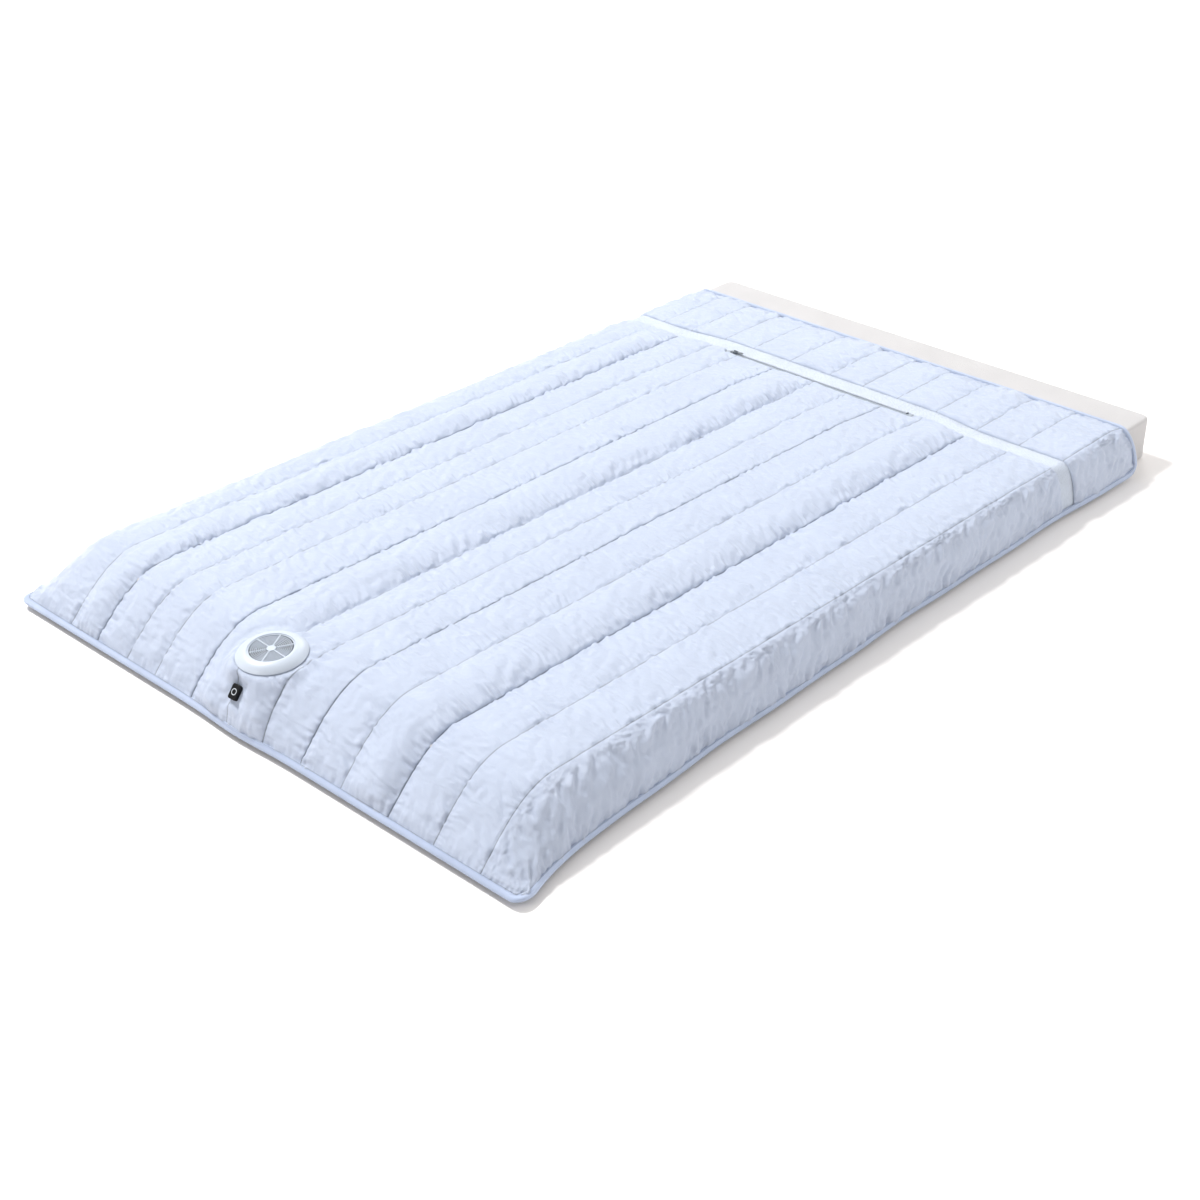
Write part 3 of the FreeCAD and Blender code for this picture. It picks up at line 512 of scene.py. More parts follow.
def quilt_surface(across, along, seam_at, fullness):
    """The settled outer surface at twice the resolution, and the seams' level under it."""
    base = seat_fittings(drape(across, along))
    sewn = np.zeros(across.shape, bool)
    sewn[:, seam_at] = True
    pinned = sewn | held_down(base)
    pinned[[0, -1]] = True
    pinned[:, [0, -1]] = True
    level = puckered_seams(base, across, along, sewn)
    points = filled(level, across, along, fullness)
    points[pinned] = level[pinned]
    points = simulate(points, pinned)
    normals = grid_normals(base)
    out = np.sum((points - base) * normals, axis=-1)
    points += normals * (np.clip(out, -0.0005, PUFF_CAP) - out)[..., None]
    flat = twice(np.stack([across, along], axis=-1))
    sunk = pucker(twice(points), flat[..., 0], flat[..., 1])
    columns = [2 * i for i in seam_at]
    free = ~held_down(sunk[:, columns])
    sunk[:, columns] -= grid_normals(twice(base))[:, columns] * (SEAM_SINK * free)[..., None]
    return sunk, twice(base), columns


# ---------------- meshes

def new_object(name, vertices, faces):
    """A mesh object from points and faces."""
    mesh = bpy.data.meshes.new(name)
    mesh.from_pydata([tuple(v) for v in vertices], [], [tuple(f) for f in faces])
    obj = bpy.data.objects.new(name, mesh)
    bpy.context.scene.collection.objects.link(obj)
    return obj


def finished(obj):
    """Outward normals and smooth shading; the piece rides on the pad."""
    tidy = bmesh.new()
    tidy.from_mesh(obj.data)
    bmesh.ops.delete(tidy, geom=[v for v in tidy.verts if not v.link_faces], context="VERTS")
    bmesh.ops.recalc_face_normals(tidy, faces=tidy.faces)
    tidy.to_mesh(obj.data)
    tidy.free()
    obj.data.polygons.foreach_set("use_smooth", [True] * len(obj.data.polygons))
    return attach(obj, "pad")


def grid_faces(rows, columns):
    """Quads of a grid of points, row after row."""
    at = np.arange(rows * columns).reshape(rows, columns)
    quads = [at[:-1, :-1], at[:-1, 1:], at[1:, 1:], at[1:, :-1]]
    return np.stack([q.ravel() for q in quads], axis=-1)


def stops_of(stride, open_at):
    """Every stride-th index up to the last one, and each index round the hole."""
    count, at = len(open_at), np.flatnonzero(open_at)
    fine = range(at[0] - 1, at[-1] + 3) if len(at) else []
    return sorted(set(range(0, count, stride)) | {count - 1} | {i for i in fine if 0 <= i < count})


def closed_panel(name, outer, under, hole=None, stride=8):
    """A closed mesh between a fine outer grid and a coarser under one, open at the hole.
    Also returns which under points were taken."""
    rows, columns = outer.shape[:2]
    if hole is None:
        hole = np.zeros((rows, columns), bool)
    down, over = stops_of(stride, hole.any(axis=1)), stops_of(stride, hole.any(axis=0))
    top = np.arange(rows * columns).reshape(rows, columns)
    low = np.full((rows, columns), -1)
    picks = np.ix_(down, over)
    low[picks] = rows * columns + np.arange(len(down) * len(over)).reshape(len(down), len(over))
    faces = [
        [top[i, j], top[i, j + 1], top[i + 1, j + 1], top[i + 1, j]]
        for i in range(rows - 1) for j in range(columns - 1) if not hole[i, j]
    ]
    for i, i2 in zip(down, down[1:]):
        for j, j2 in zip(over, over[1:]):
            if not hole[i:i2, j:j2].any():
                faces.append([low[i, j], low[i2, j], low[i2, j2], low[i, j2]])
        faces += [[*top[i : i2 + 1, end], low[i2, end], low[i, end]] for end in (0, -1)]
    for j, j2 in zip(over, over[1:]):
        faces += [[*top[end, j : j2 + 1], low[end, j2], low[end, j]] for end in (0, -1)]
    for i, j in zip(*np.nonzero(hole)):
        corners = [(i, j), (i, j + 1), (i + 1, j + 1), (i + 1, j)]
        neighbours = [(i - 1, j), (i, j + 1), (i + 1, j), (i, j - 1)]
        for a, b, beyond in zip(corners, corners[1:] + corners[:1], neighbours):
            if not hole[beyond]:
                faces.append([top[a], top[b], low[b], low[a]])
    obj = new_object(name, np.concatenate([outer.reshape(-1, 3), under[picks].reshape(-1, 3)]), faces)
    return obj, picks


def fan_and_control_hole(surface):
    """The cells of the quilt that are open for the fan and for the control."""
    near_control = np.linalg.norm(surface - CONTROL_AT, axis=-1) < CASE_HOLE
    near = (from_fan(surface) < BEZEL_R - FLANGE_LAP) | near_control
    whole = near[:-1, :-1] & near[1:, 1:] & near[1:, :-1] & near[:-1, 1:]
    return np.pad(whole, ((0, 1), (0, 1)))


def rings_mesh(name, rings, closed, capped=False):
    """A skin over rings of points, closed up to the first one or capped at both ends."""
    count, n = rings.shape[:2]
    ids = np.arange(count * n).reshape(count, n)
    on = np.roll(ids, -1, axis=0) if closed else ids[1:]
    own = ids if closed else ids[:-1]
    quads = [own, np.roll(own, -1, axis=1), np.roll(on, -1, axis=1), on]
    faces = np.stack([q.ravel() for q in quads], axis=-1).tolist()
    if capped:
        faces += [ids[0, ::-1].tolist(), ids[-1].tolist()]
    return new_object(name, rings.reshape(-1, 3), faces)


def lay_flat(obj, cut):
    """Each vertex's place on the flat cut, in metres, as texture coordinates."""
    layer = obj.data.uv_layers.new(name="cut")
    corners = np.zeros(len(obj.data.loops), int)
    obj.data.loops.foreach_get("vertex_index", corners)
    layer.data.foreach_set("uv", np.asarray(cut)[corners].ravel())


def mark_seam_shade(obj, columns, rows, width):
    """Marks the vertices of a grid's seam columns, where the nylon gets painted shade for the seams' creases."""
    mark = obj.data.attributes.new("painted_seam_shade", "FLOAT", "POINT")
    values = np.zeros(len(obj.data.vertices))
    grid = values[: rows * width].reshape(rows, width)
    grid[:, columns] = 1
    mark.data.foreach_set("value", values)


def sheet_mesh(name, outer, thickness, *cut):
    """A closed sheet below a grid of points, with its flat cut as texture coordinates."""
    under = outer - grid_normals(outer) * thickness
    obj, _ = closed_panel(name, outer, under, stride=1)
    lay_flat(obj, np.concatenate([np.stack(cut, axis=-1).reshape(-1, 2)] * 2))
    return finished(obj)


# ---------------- materials

def new_material(name, colour, roughness, metallic=0.0, sheen=0.0, coat=0.0):
    """A new material, its node tree and its shader."""
    material = bpy.data.materials.new(name)
    material.use_nodes = True
    shader = material.node_tree.nodes["Principled BSDF"]
    shader.inputs["Base Color"].default_value = (*colour, 1)
    shader.inputs["Roughness"].default_value = roughness
    shader.inputs["Metallic"].default_value = metallic
    shader.inputs["Sheen Weight"].default_value = sheen
    shader.inputs["Coat Weight"].default_value = coat
    return material, material.node_tree, shader


def add(tree, kind, links=(), **values):
    """Adds a shader node with linked and constant inputs."""
    node = tree.nodes.new("ShaderNode" + kind)
    for name, value in values.items():
        node.inputs[name.replace("_", " ")].default_value = value
    for name, socket in dict(links).items():
        tree.links.new(socket, node.inputs[name])
    return node


def grain(tree, size, detail=3.0, space="Object"):
    """Noise with features of a given size in metres."""
    at = add(tree, "TexCoord").outputs[space]
    return add(tree, "TexNoise", {"Vector": at}, Scale=0.5 / size, Detail=detail).outputs["Fac"]


def bands(tree, pitch, direction, space="UV", distortion=0.0):
    """Even bands of a given pitch in metres."""
    at = add(tree, "TexCoord").outputs[space]
    node = add(tree, "TexWave", {"Vector": at}, Scale=math.pi / (10 * pitch), Distortion=distortion)
    node.bands_direction = direction
    return node.outputs["Fac"]


def maths(tree, operation, a, b):
    """A maths node on a socket and a socket or number."""
    node = add(tree, "Math", {0: a})
    node.operation = operation
    if isinstance(b, (int, float)):
        node.inputs[1].default_value = b
    else:
        tree.links.new(b, node.inputs[1])
    return node.outputs[0]


def coloured(tree, shader, share, colour, low, high):
    """Lets the colour vary between a darker and a lighter tint of it by a share."""
    ramp = add(tree, "ValToRGB", {"Fac": share})
    ramp.color_ramp.elements[0].position, ramp.color_ramp.elements[1].position = 0.3, 0.7
    ramp.color_ramp.elements[0].color, ramp.color_ramp.elements[1].color = (
        (*tint(colour, low), 1), (*tint(colour, high), 1))
    tree.links.new(ramp.outputs["Color"], shader.inputs["Base Color"])


def bumped(tree, shader, *layers, edge=0.0):
    """Adds bump layers, each a height and its depth in metres, over softened edges."""
    below = add(tree, "Bevel", Radius=edge).outputs["Normal"] if edge else None
    for height, depth in layers:
        bump = add(tree, "Bump", {"Height": height}, Distance=depth)
        if below:
            tree.links.new(below, bump.inputs["Normal"])
        below = bump.outputs["Normal"]
    tree.links.new(below, shader.inputs["Normal"])


def tint(colour, amount):
    return tuple(min(1.0, c * amount) for c in colour)


def cloth(name, colour, roughness, pitch, sheen=0.2, crinkle=0.0, space="UV"):
    """A plain weave of a given pitch, a little uneven in colour, crinkled if it is crisp."""
    material, tree, shader = new_material(name, colour, roughness, sheen=sheen)
    weave = maths(tree, "ADD", bands(tree, pitch, "X", space), bands(tree, pitch, "Y", space))
    coloured(tree, shader, grain(tree, 0.05), colour, 0.97, 1.03)
    large, small = creased(tree, (0.080, 0.017), space), creased(tree, (0.030, 0.009), space)
    bumped(tree, shader, (large, 0.0048 * crinkle), (small, 0.0010 * crinkle), (weave, pitch * 0.25))
    return material


def creased(tree, size, space):
    """Sharp folds between smooth bulges, of a given size across and along the cut."""
    at = add(tree, "TexCoord").outputs[space]
    scaled = add(tree, "Mapping", {"Vector": at}, Scale=(0.5 / size[0], 0.5 / size[1], 0.5 / size[0]))
    at = scaled.outputs["Vector"]
    warped = add(tree, "TexNoise", {"Vector": at}, Scale=1.0, Detail=2.0, Distortion=0.6)
    middle_of = maths(tree, "SUBTRACT", warped.outputs["Fac"], 0.5)
    return maths(tree, "ABSOLUTE", middle_of, 0)


def ribbed(name, colour, pitch, roughness=0.7):
    """A twill tape or a binding, with slanting ribs."""
    material, tree, shader = new_material(name, colour, roughness, sheen=0.2)
    ribs = bands(tree, pitch, "DIAGONAL", "Object", 1.5)
    coloured(tree, shader, grain(tree, 0.02), colour, 0.95, 1.05)
    bumped(tree, shader, (ribs, pitch * 0.3), (grain(tree, 0.003), 0.0003))
    return material


def netting(name, colour, pitch, open_share, space="UV"):
    """A knitted mesh with small round holes that let light through."""
    material, tree, shader = new_material(name, colour, 0.8, sheen=0.3)
    at = add(tree, "TexCoord").outputs[space]
    cells = add(tree, "TexVoronoi", {"Vector": at}, Scale=1 / pitch, Randomness=0.25).outputs["Distance"]
    thread = maths(tree, "GREATER_THAN", cells, open_share)
    coloured(tree, shader, grain(tree, 0.03), colour, 0.96, 1.04)
    bumped(tree, shader, (cells, pitch * 0.3))
    clear = add(tree, "BsdfTransparent")
    mix = add(tree, "MixShader", {0: maths(tree, "ADD", thread, 0.25)})
    tree.links.new(clear.outputs[0], mix.inputs[1])
    tree.links.new(shader.outputs[0], mix.inputs[2])
    tree.links.new(mix.outputs[0], tree.nodes["Material Output"].inputs["Surface"])
    return material


def moulded(name, colour, roughness, grain_size=0.0006, edge=0.0004, coat=0.0, shine=0.5):
    """A moulded plastic with a fine spark texture, soft edges and slight handling marks."""
    material, tree, shader = new_material(name, colour, roughness, coat=coat)
    shader.inputs["Specular IOR Level"].default_value = shine
    coloured(tree, shader, grain(tree, 0.02, 5), colour, 0.97, 1.02)
    handled = {"Value": grain(tree, 0.008, 6)}
    worn = add(tree, "MapRange", handled, To_Min=roughness * 0.8, To_Max=roughness * 1.2)
    tree.links.new(worn.outputs["Result"], shader.inputs["Roughness"])
    bumped(tree, shader, (grain(tree, grain_size, 2), grain_size * 0.06), edge=edge)
    return material


def metal(name, colour, roughness, pitch=0.0004, direction="Z"):
    """A turned or drawn metal, or wound wire at a coarser pitch."""
    material, tree, shader = new_material(name, colour, roughness, metallic=1.0)
    coloured(tree, shader, grain(tree, 0.006, 5), colour, 0.9, 1.06)
    bumped(tree, shader, (bands(tree, pitch, direction, "Object", 0.4), pitch * 0.1), edge=0.0002)
    return material


def nylon(name, colour):
    """The quilt's crisp nylon, with painted shade along the seams: darker where a seam's vertices are marked."""
    material = cloth(name, colour, 0.28, 0.0004, sheen=0.10, crinkle=1.0)
    tree = material.node_tree
    shader = tree.nodes["Principled BSDF"]
    plain = shader.inputs["Base Color"].links[0].from_socket
    # painted shade: the marked seam vertices mix the nylon towards a dark tint of it, for the shade in the seams'
    # creases
    painted_seam_shade = add(tree, "Attribute")
    painted_seam_shade.attribute_name = "painted_seam_shade"
    share = maths(tree, "MULTIPLY", maths(tree, "POWER", painted_seam_shade.outputs["Fac"], 2.5), 0.85)
    mixed = add(tree, "MixRGB", {"Fac": share, "Color1": plain}, Color2=(*tint(colour, 0.30), 1))
    tree.links.new(mixed.outputs["Color"], shader.inputs["Base Color"])
    return material


NYLON = (0.482, 0.54, 0.668)
# Each slot's maker, its colour and what else the maker takes, in its own order
LOOKS = {
    "slab_foam": (cloth, (0.575, 0.56, 0.56), 0.9, 0.0016, 0.3, 0.05, "Object"),
    "quilt_nylon": (nylon, NYLON),
    "wadding": (cloth, (0.90, 0.90, 0.92), 1.0, 0.002, 0.2, 0.5, "Object"),
    "band_mesh": (netting, (0.58, 0.64, 0.74), 0.0040, 0.33),
    "liner_cloth": (cloth, (0.56, 0.63, 0.80), 0.8, 0.0006, 0.2, 0.3),
    # painted shade: the binding is the quilt's blue, given a darker colour for the shade along the hem
    "piping_cloth": (ribbed, (0.40, 0.47, 0.63), 0.0009, 0.45),
    "spacer_mesh": (netting, (0.80, 0.82, 0.85), 0.006, 0.35, "Object"),
    "zip_tape_cloth": (ribbed, (0.32, 0.36, 0.42), 0.0012),
    "zip_nylon": (moulded, (0.62, 0.66, 0.72), 0.45),
    "zip_metal": (moulded, (0.11, 0.13, 0.155), 0.35, 0.0004),
    "fan_white": (moulded, (0.49, 0.54, 0.615), 0.35, 0.0006, 0.0006),
    "fan_grey": (moulded, (0.11, 0.12, 0.14), 0.55),
    "impeller_grey": (moulded, (0.075, 0.085, 0.10), 0.45),
    "steel": (metal, (0.58, 0.585, 0.60), 0.3),
    "copper": (metal, (0.75, 0.30, 0.12), 0.35, 0.0006),
    "brass_tube": (metal, (0.72, 0.50, 0.20), 0.3),
    "magnet_black": (moulded, (0.03, 0.03, 0.035), 0.6, 0.0004),
    "board_green": (moulded, (0.02, 0.12, 0.05), 0.4, 0.0010, 0.0004, 0.3),
    "control_black": (moulded, (0.004, 0.004, 0.005), 0.45, 0.0005, 0.0004, 0.0, 0.2),
    "light_pale": (moulded, (0.70, 0.75, 0.80), 0.35),
    "lead_black": (moulded, (0.02, 0.02, 0.022), 0.5),
}
MATERIALS = {slot: make(slot, *values) for slot, (make, *values) in LOOKS.items()}


def finish_with(obj, slot, *nodes):
    """Gives a piece the material of its record slot, and hides the CAD nodes it stands for."""
    obj.data.materials.append(MATERIALS[slot])
    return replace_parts(obj, *nodes)


def dress_cad():
    """Gives every CAD node the material of its slot."""
    slots = {part["node"]: part["material_slot"] for part in frame["record"]["subparts"]}
    for name, node in frame["nodes"].items():
        node.data.materials.clear()
        node.data.materials.append(MATERIALS[slots[name]])


# ---------------- the quilt

def quilt(cut, names, fullness):
    """Builds a quilt as panels that meet at seams, and returns its outer grid and seam columns."""
    across, along, seam_at = cut
    outer, level, columns = quilt_surface(across, along, seam_at, fullness)
    flat = twice(np.stack([across, along], axis=-1))
    under = level - grid_normals(level) * SKIN
    under[[0, -1]] -= [0, 0, EDGE_SETTLE]
    hole = fan_and_control_hole(level)
    outer[[0, -1]] += (under - outer)[[0, -1]] * EDGE_TAPER
    last = outer.shape[1] - 1
    ends = [0, last] if len(names) == 1 else [0] + [columns[i] for i in PARTED] + [last]
    pieces = []
    for name, low, high in zip(names, ends, ends[1:]):
        part = slice(low, high + 1)
        open_part = hole[:, part].copy()
        open_part[:, -1] = False
        obj, kept = closed_panel(name, outer[:, part], under[:, part], open_part)
        lay_flat(obj, np.concatenate([flat[:, part].reshape(-1, 2), flat[:, part][kept].reshape(-1, 2)]))
        # marks the seam columns for the nylon's painted seam shade
        mark_seam_shade(obj, [c - low for c in columns if low <= c <= high], len(outer), high + 1 - low)
        pieces.append(finished(obj))
    return pieces, outer, columns


def stitches(name, lines):
    """Lock stitches along lines of points, each sunk a little at both ends."""
    vertices, faces, first = [], [], 0
    for line, normals in lines:
        length = np.concatenate([[0], np.cumsum(np.linalg.norm(np.diff(line, axis=0), axis=1))])
        starts = np.arange(0, length[-1] - STITCH, STITCH)
        for share, drop, width in STITCH_RINGS:
            at = starts + share * STITCH
            middle_of, up = (
                np.stack([np.interp(at, length, p[:, k]) for k in range(3)], axis=-1)
                for p in (line, normals)
            )
            up = unit(up)
            along = unit(np.gradient(middle_of, axis=0))
            beside = np.cross(along, up) * THREAD_R * width
            centre = middle_of - up * THREAD_R * drop
            corners = [centre - beside, centre + up * THREAD_R, centre + beside, centre - up * THREAD_R]
            vertices.append(np.stack(corners, axis=1).reshape(-1, 3))
        ids = first + np.arange(3 * len(starts) * 4).reshape(3, len(starts), 4)
        first += ids.size
        for ring in (0, 1):
            for j in range(4):
                n = (j + 1) % 4
                quads = [ids[ring, :, j], ids[ring, :, n], ids[ring + 1, :, n], ids[ring + 1, :, j]]
                faces += np.stack(quads, axis=-1).tolist()
        faces += ids[0, :, ::-1].tolist() + ids[2].tolist()
    return new_object(name, np.concatenate(vertices), faces)


def seam_lines(outer, columns):
    """The seams' lines on a quilt with their normals, except under the fan and the control."""
    normals = grid_normals(outer)
    lines = []
    for column in columns:
        line, up = outer[:, column], normals[:, column]
        clear = ~held_down(line)
        starts = np.flatnonzero(np.diff(np.concatenate([[0], clear.astype(int), [0]])))
        for first, last in zip(starts[::2], starts[1::2]):
            lines.append((line[first:last], up[first:last]))
    return lines


# ---------------- the edge, the band and the layers below

def hem_loop():
    """The cut's boundary, stepped all the way round."""
    rows, columns = np.arange(FOOT_HEM, QUILT_HEAD, EDGE_STEP), np.arange(-HEM, HEM, EDGE_STEP)
    right, foot = np.full_like(rows, HEM), np.full_like(columns, FOOT_HEM)
    across = np.concatenate([columns, right, columns[::-1], -right])
    return across, np.concatenate([foot, rows, np.full_like(columns, QUILT_HEAD), rows[::-1]])


def binding():
    """The bound edge: a stuffed tape round the hem, stitched on its inner side."""
    across, along = hem_loop()
    edge = drape(across, along)
    inner_x = np.clip(across, 0.010 - HEM, HEM - 0.010)
    inner_y = np.clip(along, FOOT_HEM + 0.010, QUILT_HEAD - 0.010)
    inner = drape(inner_x, inner_y)
    keep = np.linalg.norm(edge - np.roll(edge, 1, axis=0), axis=1) > 0.001
    edge, inner = edge[keep], inner[keep]
    for _ in range(3):
        edge, inner = ((np.roll(p, 1, axis=0) + 2 * p + np.roll(p, -1, axis=0)) / 4 for p in (edge, inner))
    onward = unit(np.roll(edge, -1, axis=0) - np.roll(edge, 1, axis=0))
    outward = edge - inner
    outward = unit(outward - onward * np.sum(outward * onward, axis=1, keepdims=True))
    upward = np.cross(outward, onward)
    run = np.arange(len(edge)) * EDGE_STEP
    gather = 1 + 0.12 * noise_field(run, 0 * run, *BINDING_GATHERS)
    angles = np.linspace(0, 2 * math.pi, 15)[:-1]
    outline = np.stack([BINDING_OUT * np.cos(angles), BINDING_UP * np.sin(angles)], axis=-1)
    inside = outline[:, 0] < -0.002
    outline[inside, 0] -= BINDING_LAP
    outline[inside, 1] *= 0.75
    rings = edge[:, None] + outline[None, :, :1] * outward[:, None]
    rings = rings + (outline[None, :, 1:] * gather[:, None, None]) * upward[:, None]
    rings[..., 2] = np.maximum(rings[..., 2], BINDING_LOW)
    obj = rings_mesh("hem_binding", rings, closed=True)
    seam = edge - outward * BINDING_STITCH_IN + upward * BINDING_STITCH_UP
    return finish_with(finished(obj), "piping_cloth", "hem_piping"), seam, upward


def mesh_band():
    """The open mesh across the bed, under the edges of both quilts."""
    columns = np.linspace(-HEM + BAND_INSET, HEM - BAND_INSET, 480)
    rows = np.linspace(-BAND_LAP, 1 + BAND_LAP, 25) * (BAND_HEAD - BAND_FOOT) + BAND_FOOT
    across, along = np.meshgrid(columns, rows)
    placed = along + band_bow(across)
    points = drape(across, placed)
    normals = grid_normals(points)
    ripple = 0.0007 * noise_field(across, along, *BAND_RIPPLE)
    points = points + normals * (ripple - SKIN - BAND_GAP)[..., None]
    obj = sheet_mesh("outlet_mesh", points, BAND_THICK, across, along)
    width, length = 2 * (HEM - BAND_INSET), (1 + 2 * BAND_LAP) * (BAND_HEAD - BAND_FOOT)
    finish_with(obj, "band_mesh", "air_outlet_band")
    return obj, (width, length)


def off_the_slab(points, gap):
    """Moves points that lie inside the slab out of it, by the shortest way."""
    x, y, z = np.moveaxis(points, -1, 0).copy()
    depths = np.stack([SLAB_HIGH.x + gap - np.abs(x), y - SLAB_LOW.y + gap, SLAB_HIGH.z + gap - z])
    inside, shortest = depths.min(axis=0) > 0, depths.argmin(axis=0)
    x = np.where(inside & (shortest == 0), np.copysign(SLAB_HIGH.x + gap, x), x)
    y = np.where(inside & (shortest == 1), SLAB_LOW.y - gap, y)
    z = np.where(inside & (shortest == 2), SLAB_HIGH.z + gap, z)
    return np.stack([x, y, z], axis=-1)


def liner():
    """The cloth on the slab and over its edges, which closes the air chamber at the hem."""
    columns = np.linspace(LINER_INSET - HEM, HEM - LINER_INSET, 200)
    rows = np.linspace(FOOT_HEM + LINER_INSET, QUILT_HEAD - LINER_INSET, 225)
    across, along = np.meshgrid(columns, rows)
    points = drape(across, along)
    points = points - grid_normals(points) * LINER_BELOW
    on_slab = (np.abs(points[..., 0]) < SLAB_HIGH.x) & (points[..., 1] > SLAB_LOW.y)
    wrinkles = 0.0003 * noise_field(across, along, *LINER_WRINKLES)
    z = points[..., 2]
    z[on_slab] = np.minimum(z, SLAB_HIGH.z + LINER_GAP + wrinkles)[on_slab]
    points = off_the_slab(points, LINER_GAP)
    obj = sheet_mesh("chamber_liner", points, LINER_THICK, across, along)
    finish_with(obj, "liner_cloth", "bottom_liner")
    return obj, (2 * (HEM - LINER_INSET), QUILT_HEAD - FOOT_HEM - 2 * LINER_INSET)


def air_core():
    """The three-dimensional mesh between the liner and the quilt."""
    low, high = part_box("air_core_mesh")
    columns, rows = np.linspace(low.x, high.x, 225), np.linspace(low.y, high.y, 349)
    x, y = np.meshgrid(columns, rows)
    edge = np.minimum.reduce([x - low.x, high.x - x, y - low.y, high.y - y])
    round_off = 0.0015 * (1 - smooth(edge, 0, 0.008))
    ribs = RIB_HEIGHT * np.cos(x * 2 * math.pi / RIB_PITCH) * np.cos(y * 2 * math.pi / RIB_PITCH)
    top = np.stack([x, y, high.z - 0.0007 - round_off + ribs], axis=-1)
    under = np.stack([x, y, low.z + 0.0003 + round_off], axis=-1)
    obj, _ = closed_panel("air_core", top, under)
    return finish_with(finished(obj), "spacer_mesh", "air_core_mesh")


def slab():
    """The foam mattress slab, with soft edges and faces that aren't quite flat."""
    points, outward = [], []
    corners = [(SLAB_LOW.x, SLAB_LOW.y, SLAB_FOOT_R, 180), (SLAB_HIGH.x, SLAB_LOW.y, SLAB_FOOT_R, 270),
               (SLAB_HIGH.x, SLAB_HIGH.y, SLAB_HEAD_R, 0), (SLAB_LOW.x, SLAB_HIGH.y, SLAB_HEAD_R, 90)]
    for x, y, radius, start in corners:
        centre = np.array([x - math.copysign(radius, x), y - math.copysign(radius, y)])
        for angle in np.radians(np.linspace(start, start + 90, 13)):
            direction = np.array([math.cos(angle), math.sin(angle)])
            points.append(centre + radius * direction)
            outward.append(direction)
    dense, normals = [], []
    for a, b, n, m in zip(points, points[1:] + points[:1], outward, outward[1:] + outward[:1]):
        share = np.linspace(0, 1, max(1, round(np.linalg.norm(b - a) / 0.02)) + 1)[:-1, None]
        dense.append(a + (b - a) * share)
        normals.append(n + (m - n) * share)
    dense, normals = np.concatenate(dense), np.concatenate(normals)
    angles = np.linspace(0, math.pi / 2, 7)
    round_off = [(SLAB_EDGE * (1 - math.cos(a)), SLAB_EDGE * (1 - math.sin(a))) for a in angles]
    straight = [(0.0, z) for z in np.linspace(SLAB_EDGE, SLAB_HIGH.z - SLAB_EDGE, 8)[1:-1]]
    profile = round_off[::-1] + straight + [(inset, SLAB_HIGH.z - z) for inset, z in round_off]
    rings = []
    for inset, z in profile:
        uneven = 0.0012 * noise_field(dense[:, 1], dense[:, 0] + z, *UNEVEN_SLAB)
        flat = dense - normals * (inset + uneven + 0.0008)[:, None]
        rings.append(np.column_stack([flat, np.full(len(flat), z)]))
    middle_of = np.array([0, (SLAB_LOW.y + SLAB_HIGH.y) / 2, 0])
    inner = [1, 1, 0] * (rings[-1] - middle_of)
    level = [0, 0, 1] * rings[-1]
    tops = [middle_of + inner * share + level for share in (0.97, 0.9, 0.6, 0.3, 0.05)]
    bottoms = [ring * [1, 1, 0] for ring in tops[::-1]]
    obj = rings_mesh("mattress_slab", np.array(bottoms + rings + tops), closed=False, capped=True)
    return finish_with(finished(obj), "slab_foam", "foam_slab")


def zip_fastener():
    """The zip's tape and its two interlocked coils."""
    low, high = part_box("zip_tape")
    x, y = np.meshgrid(np.linspace(low.x, high.x, 260), np.linspace(low.y - TAPE_TUCK, high.y, 12))
    z = high.z - 0.0002 + 0.0004 * noise_field(x, y, *TAPE_WAVE)
    z = z - TAPE_DIP * smooth(low.y - y, 0, TAPE_TUCK)
    points = np.stack([x, y, z], axis=-1)
    tape = sheet_mesh("zip_tape_woven", points, TAPE_THICK, x, y)
    finish_with(tape, "zip_tape_cloth", "zip_tape")
    low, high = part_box("zip_chain")
    centre = middle("zip_chain")
    height = (high.z - low.z) / 2 - COIL_THREAD
    turns = (high.x - low.x) / COIL_PITCH
    turn = np.linspace(0, 2 * math.pi * turns, int(turns * 10))
    parts = []
    for side in (-1, 1):
        x = low.x + COIL_PITCH * (turn / (2 * math.pi) + 0.25 * side)
        y = centre[1] + side * (COIL_OUT + COIL_HALF * np.cos(turn))
        path = np.stack([x, y, centre[2] + height * np.sin(turn)], axis=-1)
        onward = unit(np.gradient(path, axis=0))
        beside = unit(np.cross(onward, [1.0, 0, 0]))
        up = np.cross(onward, beside)
        angles = np.linspace(0, 2 * math.pi, 6)[:-1]
        ring = np.cos(angles)[None, :, None] * beside[:, None] + np.sin(angles)[None, :, None] * up[:, None]
        parts.append(rings_mesh("zip_coil", path[:, None] + COIL_THREAD * ring, closed=False, capped=True))
    join(parts)
    return finish_with(finished(parts[0]), "zip_nylon", "zip_chain")


def join(objects):
    """Makes one object of several."""
    bpy.ops.object.select_all(action="DESELECT")
    for obj in objects:
        obj.select_set(True)
    bpy.context.view_layer.objects.active = objects[0]
    bpy.ops.object.join()


# ---------------- the studio

CAMERA_AZ, CAMERA_EL, CAMERA_AWAY, LENS = math.radians(42.93), math.radians(30.36), 3.852, 59.4
LOOK_AT = Vector((0.142, -0.252, 0))
FLOOR_HALF, FLOOR_COLOUR, WORLD_LIGHT = 30, (0.93, 0.90, 0.88), 0.62
LIGHTS = [
    ("key", (-5.2, -0.8, 7.6), 1.6, 1000),
    ("back", (-5.4, 9.6, 6.3), 3.4, 240),
    ("front", (-1.0, -6.0, 3.6), 2.0, 60),
    ("side", (5.0, 6.5, 3.5), 3.0, 260),
]


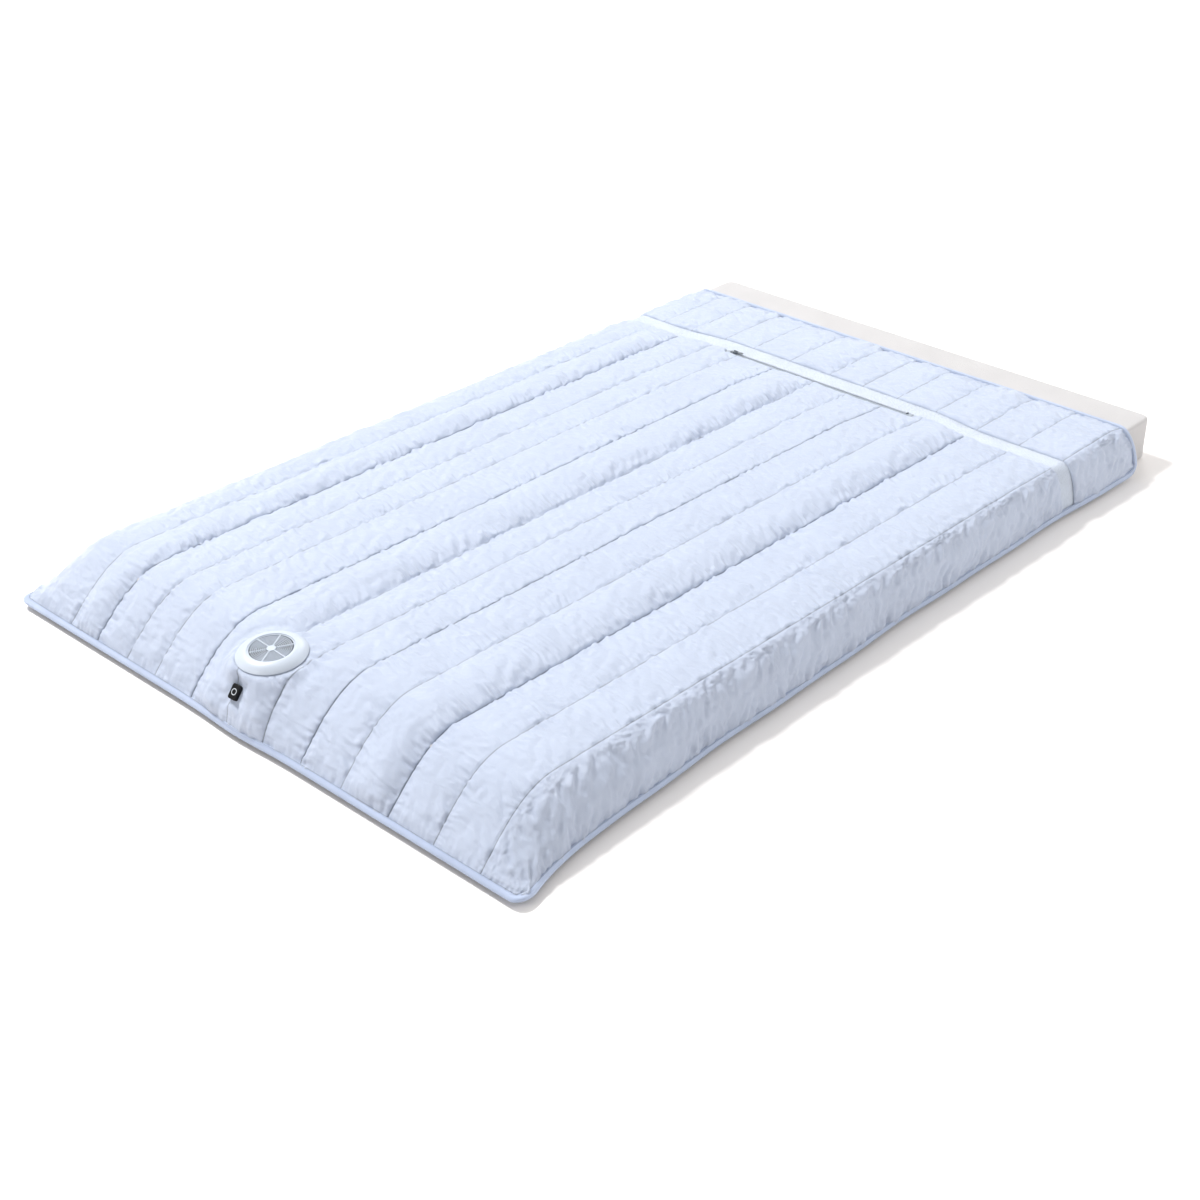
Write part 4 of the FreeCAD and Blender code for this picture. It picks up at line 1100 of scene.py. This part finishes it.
def placed(name, data, at, facing):
    """Puts a lamp or the camera at a place, facing a direction."""
    obj = bpy.data.objects.new(name, data)
    obj.location, obj.rotation_euler = at, facing.to_track_quat("-Z", "Y").to_euler()
    bpy.context.scene.collection.objects.link(obj)
    return obj


def look():
    """The floor, the lights and the camera."""
    corners = [(FLOOR_HALF * a, FLOOR_HALF * b, 0) for a, b in ((-1, -1), (1, -1), (1, 1), (-1, 1))]
    floor = new_object("floor", corners, [(0, 1, 2, 3)])
    floor.data.materials.append(new_material("floor", FLOOR_COLOUR, 0.7)[0])
    scene = bpy.context.scene
    world = scene.world = bpy.data.worlds.new("world")
    world.use_nodes = True
    background = world.node_tree.nodes["Background"]
    background.inputs["Color"].default_value = (1, 1, 1, 1)
    background.inputs["Strength"].default_value = WORLD_LIGHT
    for name, at, size, power in LIGHTS:
        data = bpy.data.lights.new(name, "AREA")
        data.size, data.energy = size, power
        placed(name, data, at, -Vector(at))
    away = Vector((math.sin(CAMERA_AZ), -math.cos(CAMERA_AZ), math.tan(CAMERA_EL))).normalized()
    scene.camera = placed("camera", bpy.data.cameras.new("camera"), LOOK_AT + away * CAMERA_AWAY, -away)
    scene.camera.data.lens = LENS
    scene.view_settings.view_transform = "Standard"


# ---------------- the pieces

dress_cad()
slab()
air_core()
names = ["quilt_left", "quilt_mid_left", "quilt_middle", "quilt_mid_right", "quilt_right"]
main_panels, main_outer, main_seams = quilt(main_cut(), names, 1.0)
head_panels, head_outer, head_seams = quilt(head_cut(), ["quilt_head"], 0.35)
for panel in main_panels:
    finish_with(panel, "quilt_nylon", "main_quilt_shell", "main_quilt_wadding", "fan_collar")
finish_with(head_panels[0], "quilt_nylon", "head_quilt_shell", "head_quilt_wadding")

edge, edge_seam, edge_up = binding()
lines = seam_lines(main_outer, main_seams) + seam_lines(head_outer, head_seams) + [(edge_seam, edge_up)]
thread = finished(stitches("seam_thread", lines))
# painted shade: the thread, pale blue itself, gets a dark tint of the nylon for the shade in the seams' creases
thread.data.materials.append(moulded("thread", tint(NYLON, 0.35), 0.6, 0.0002))
band, band_cut = mesh_band()
under, under_cut = liner()
zip_fastener()
look()
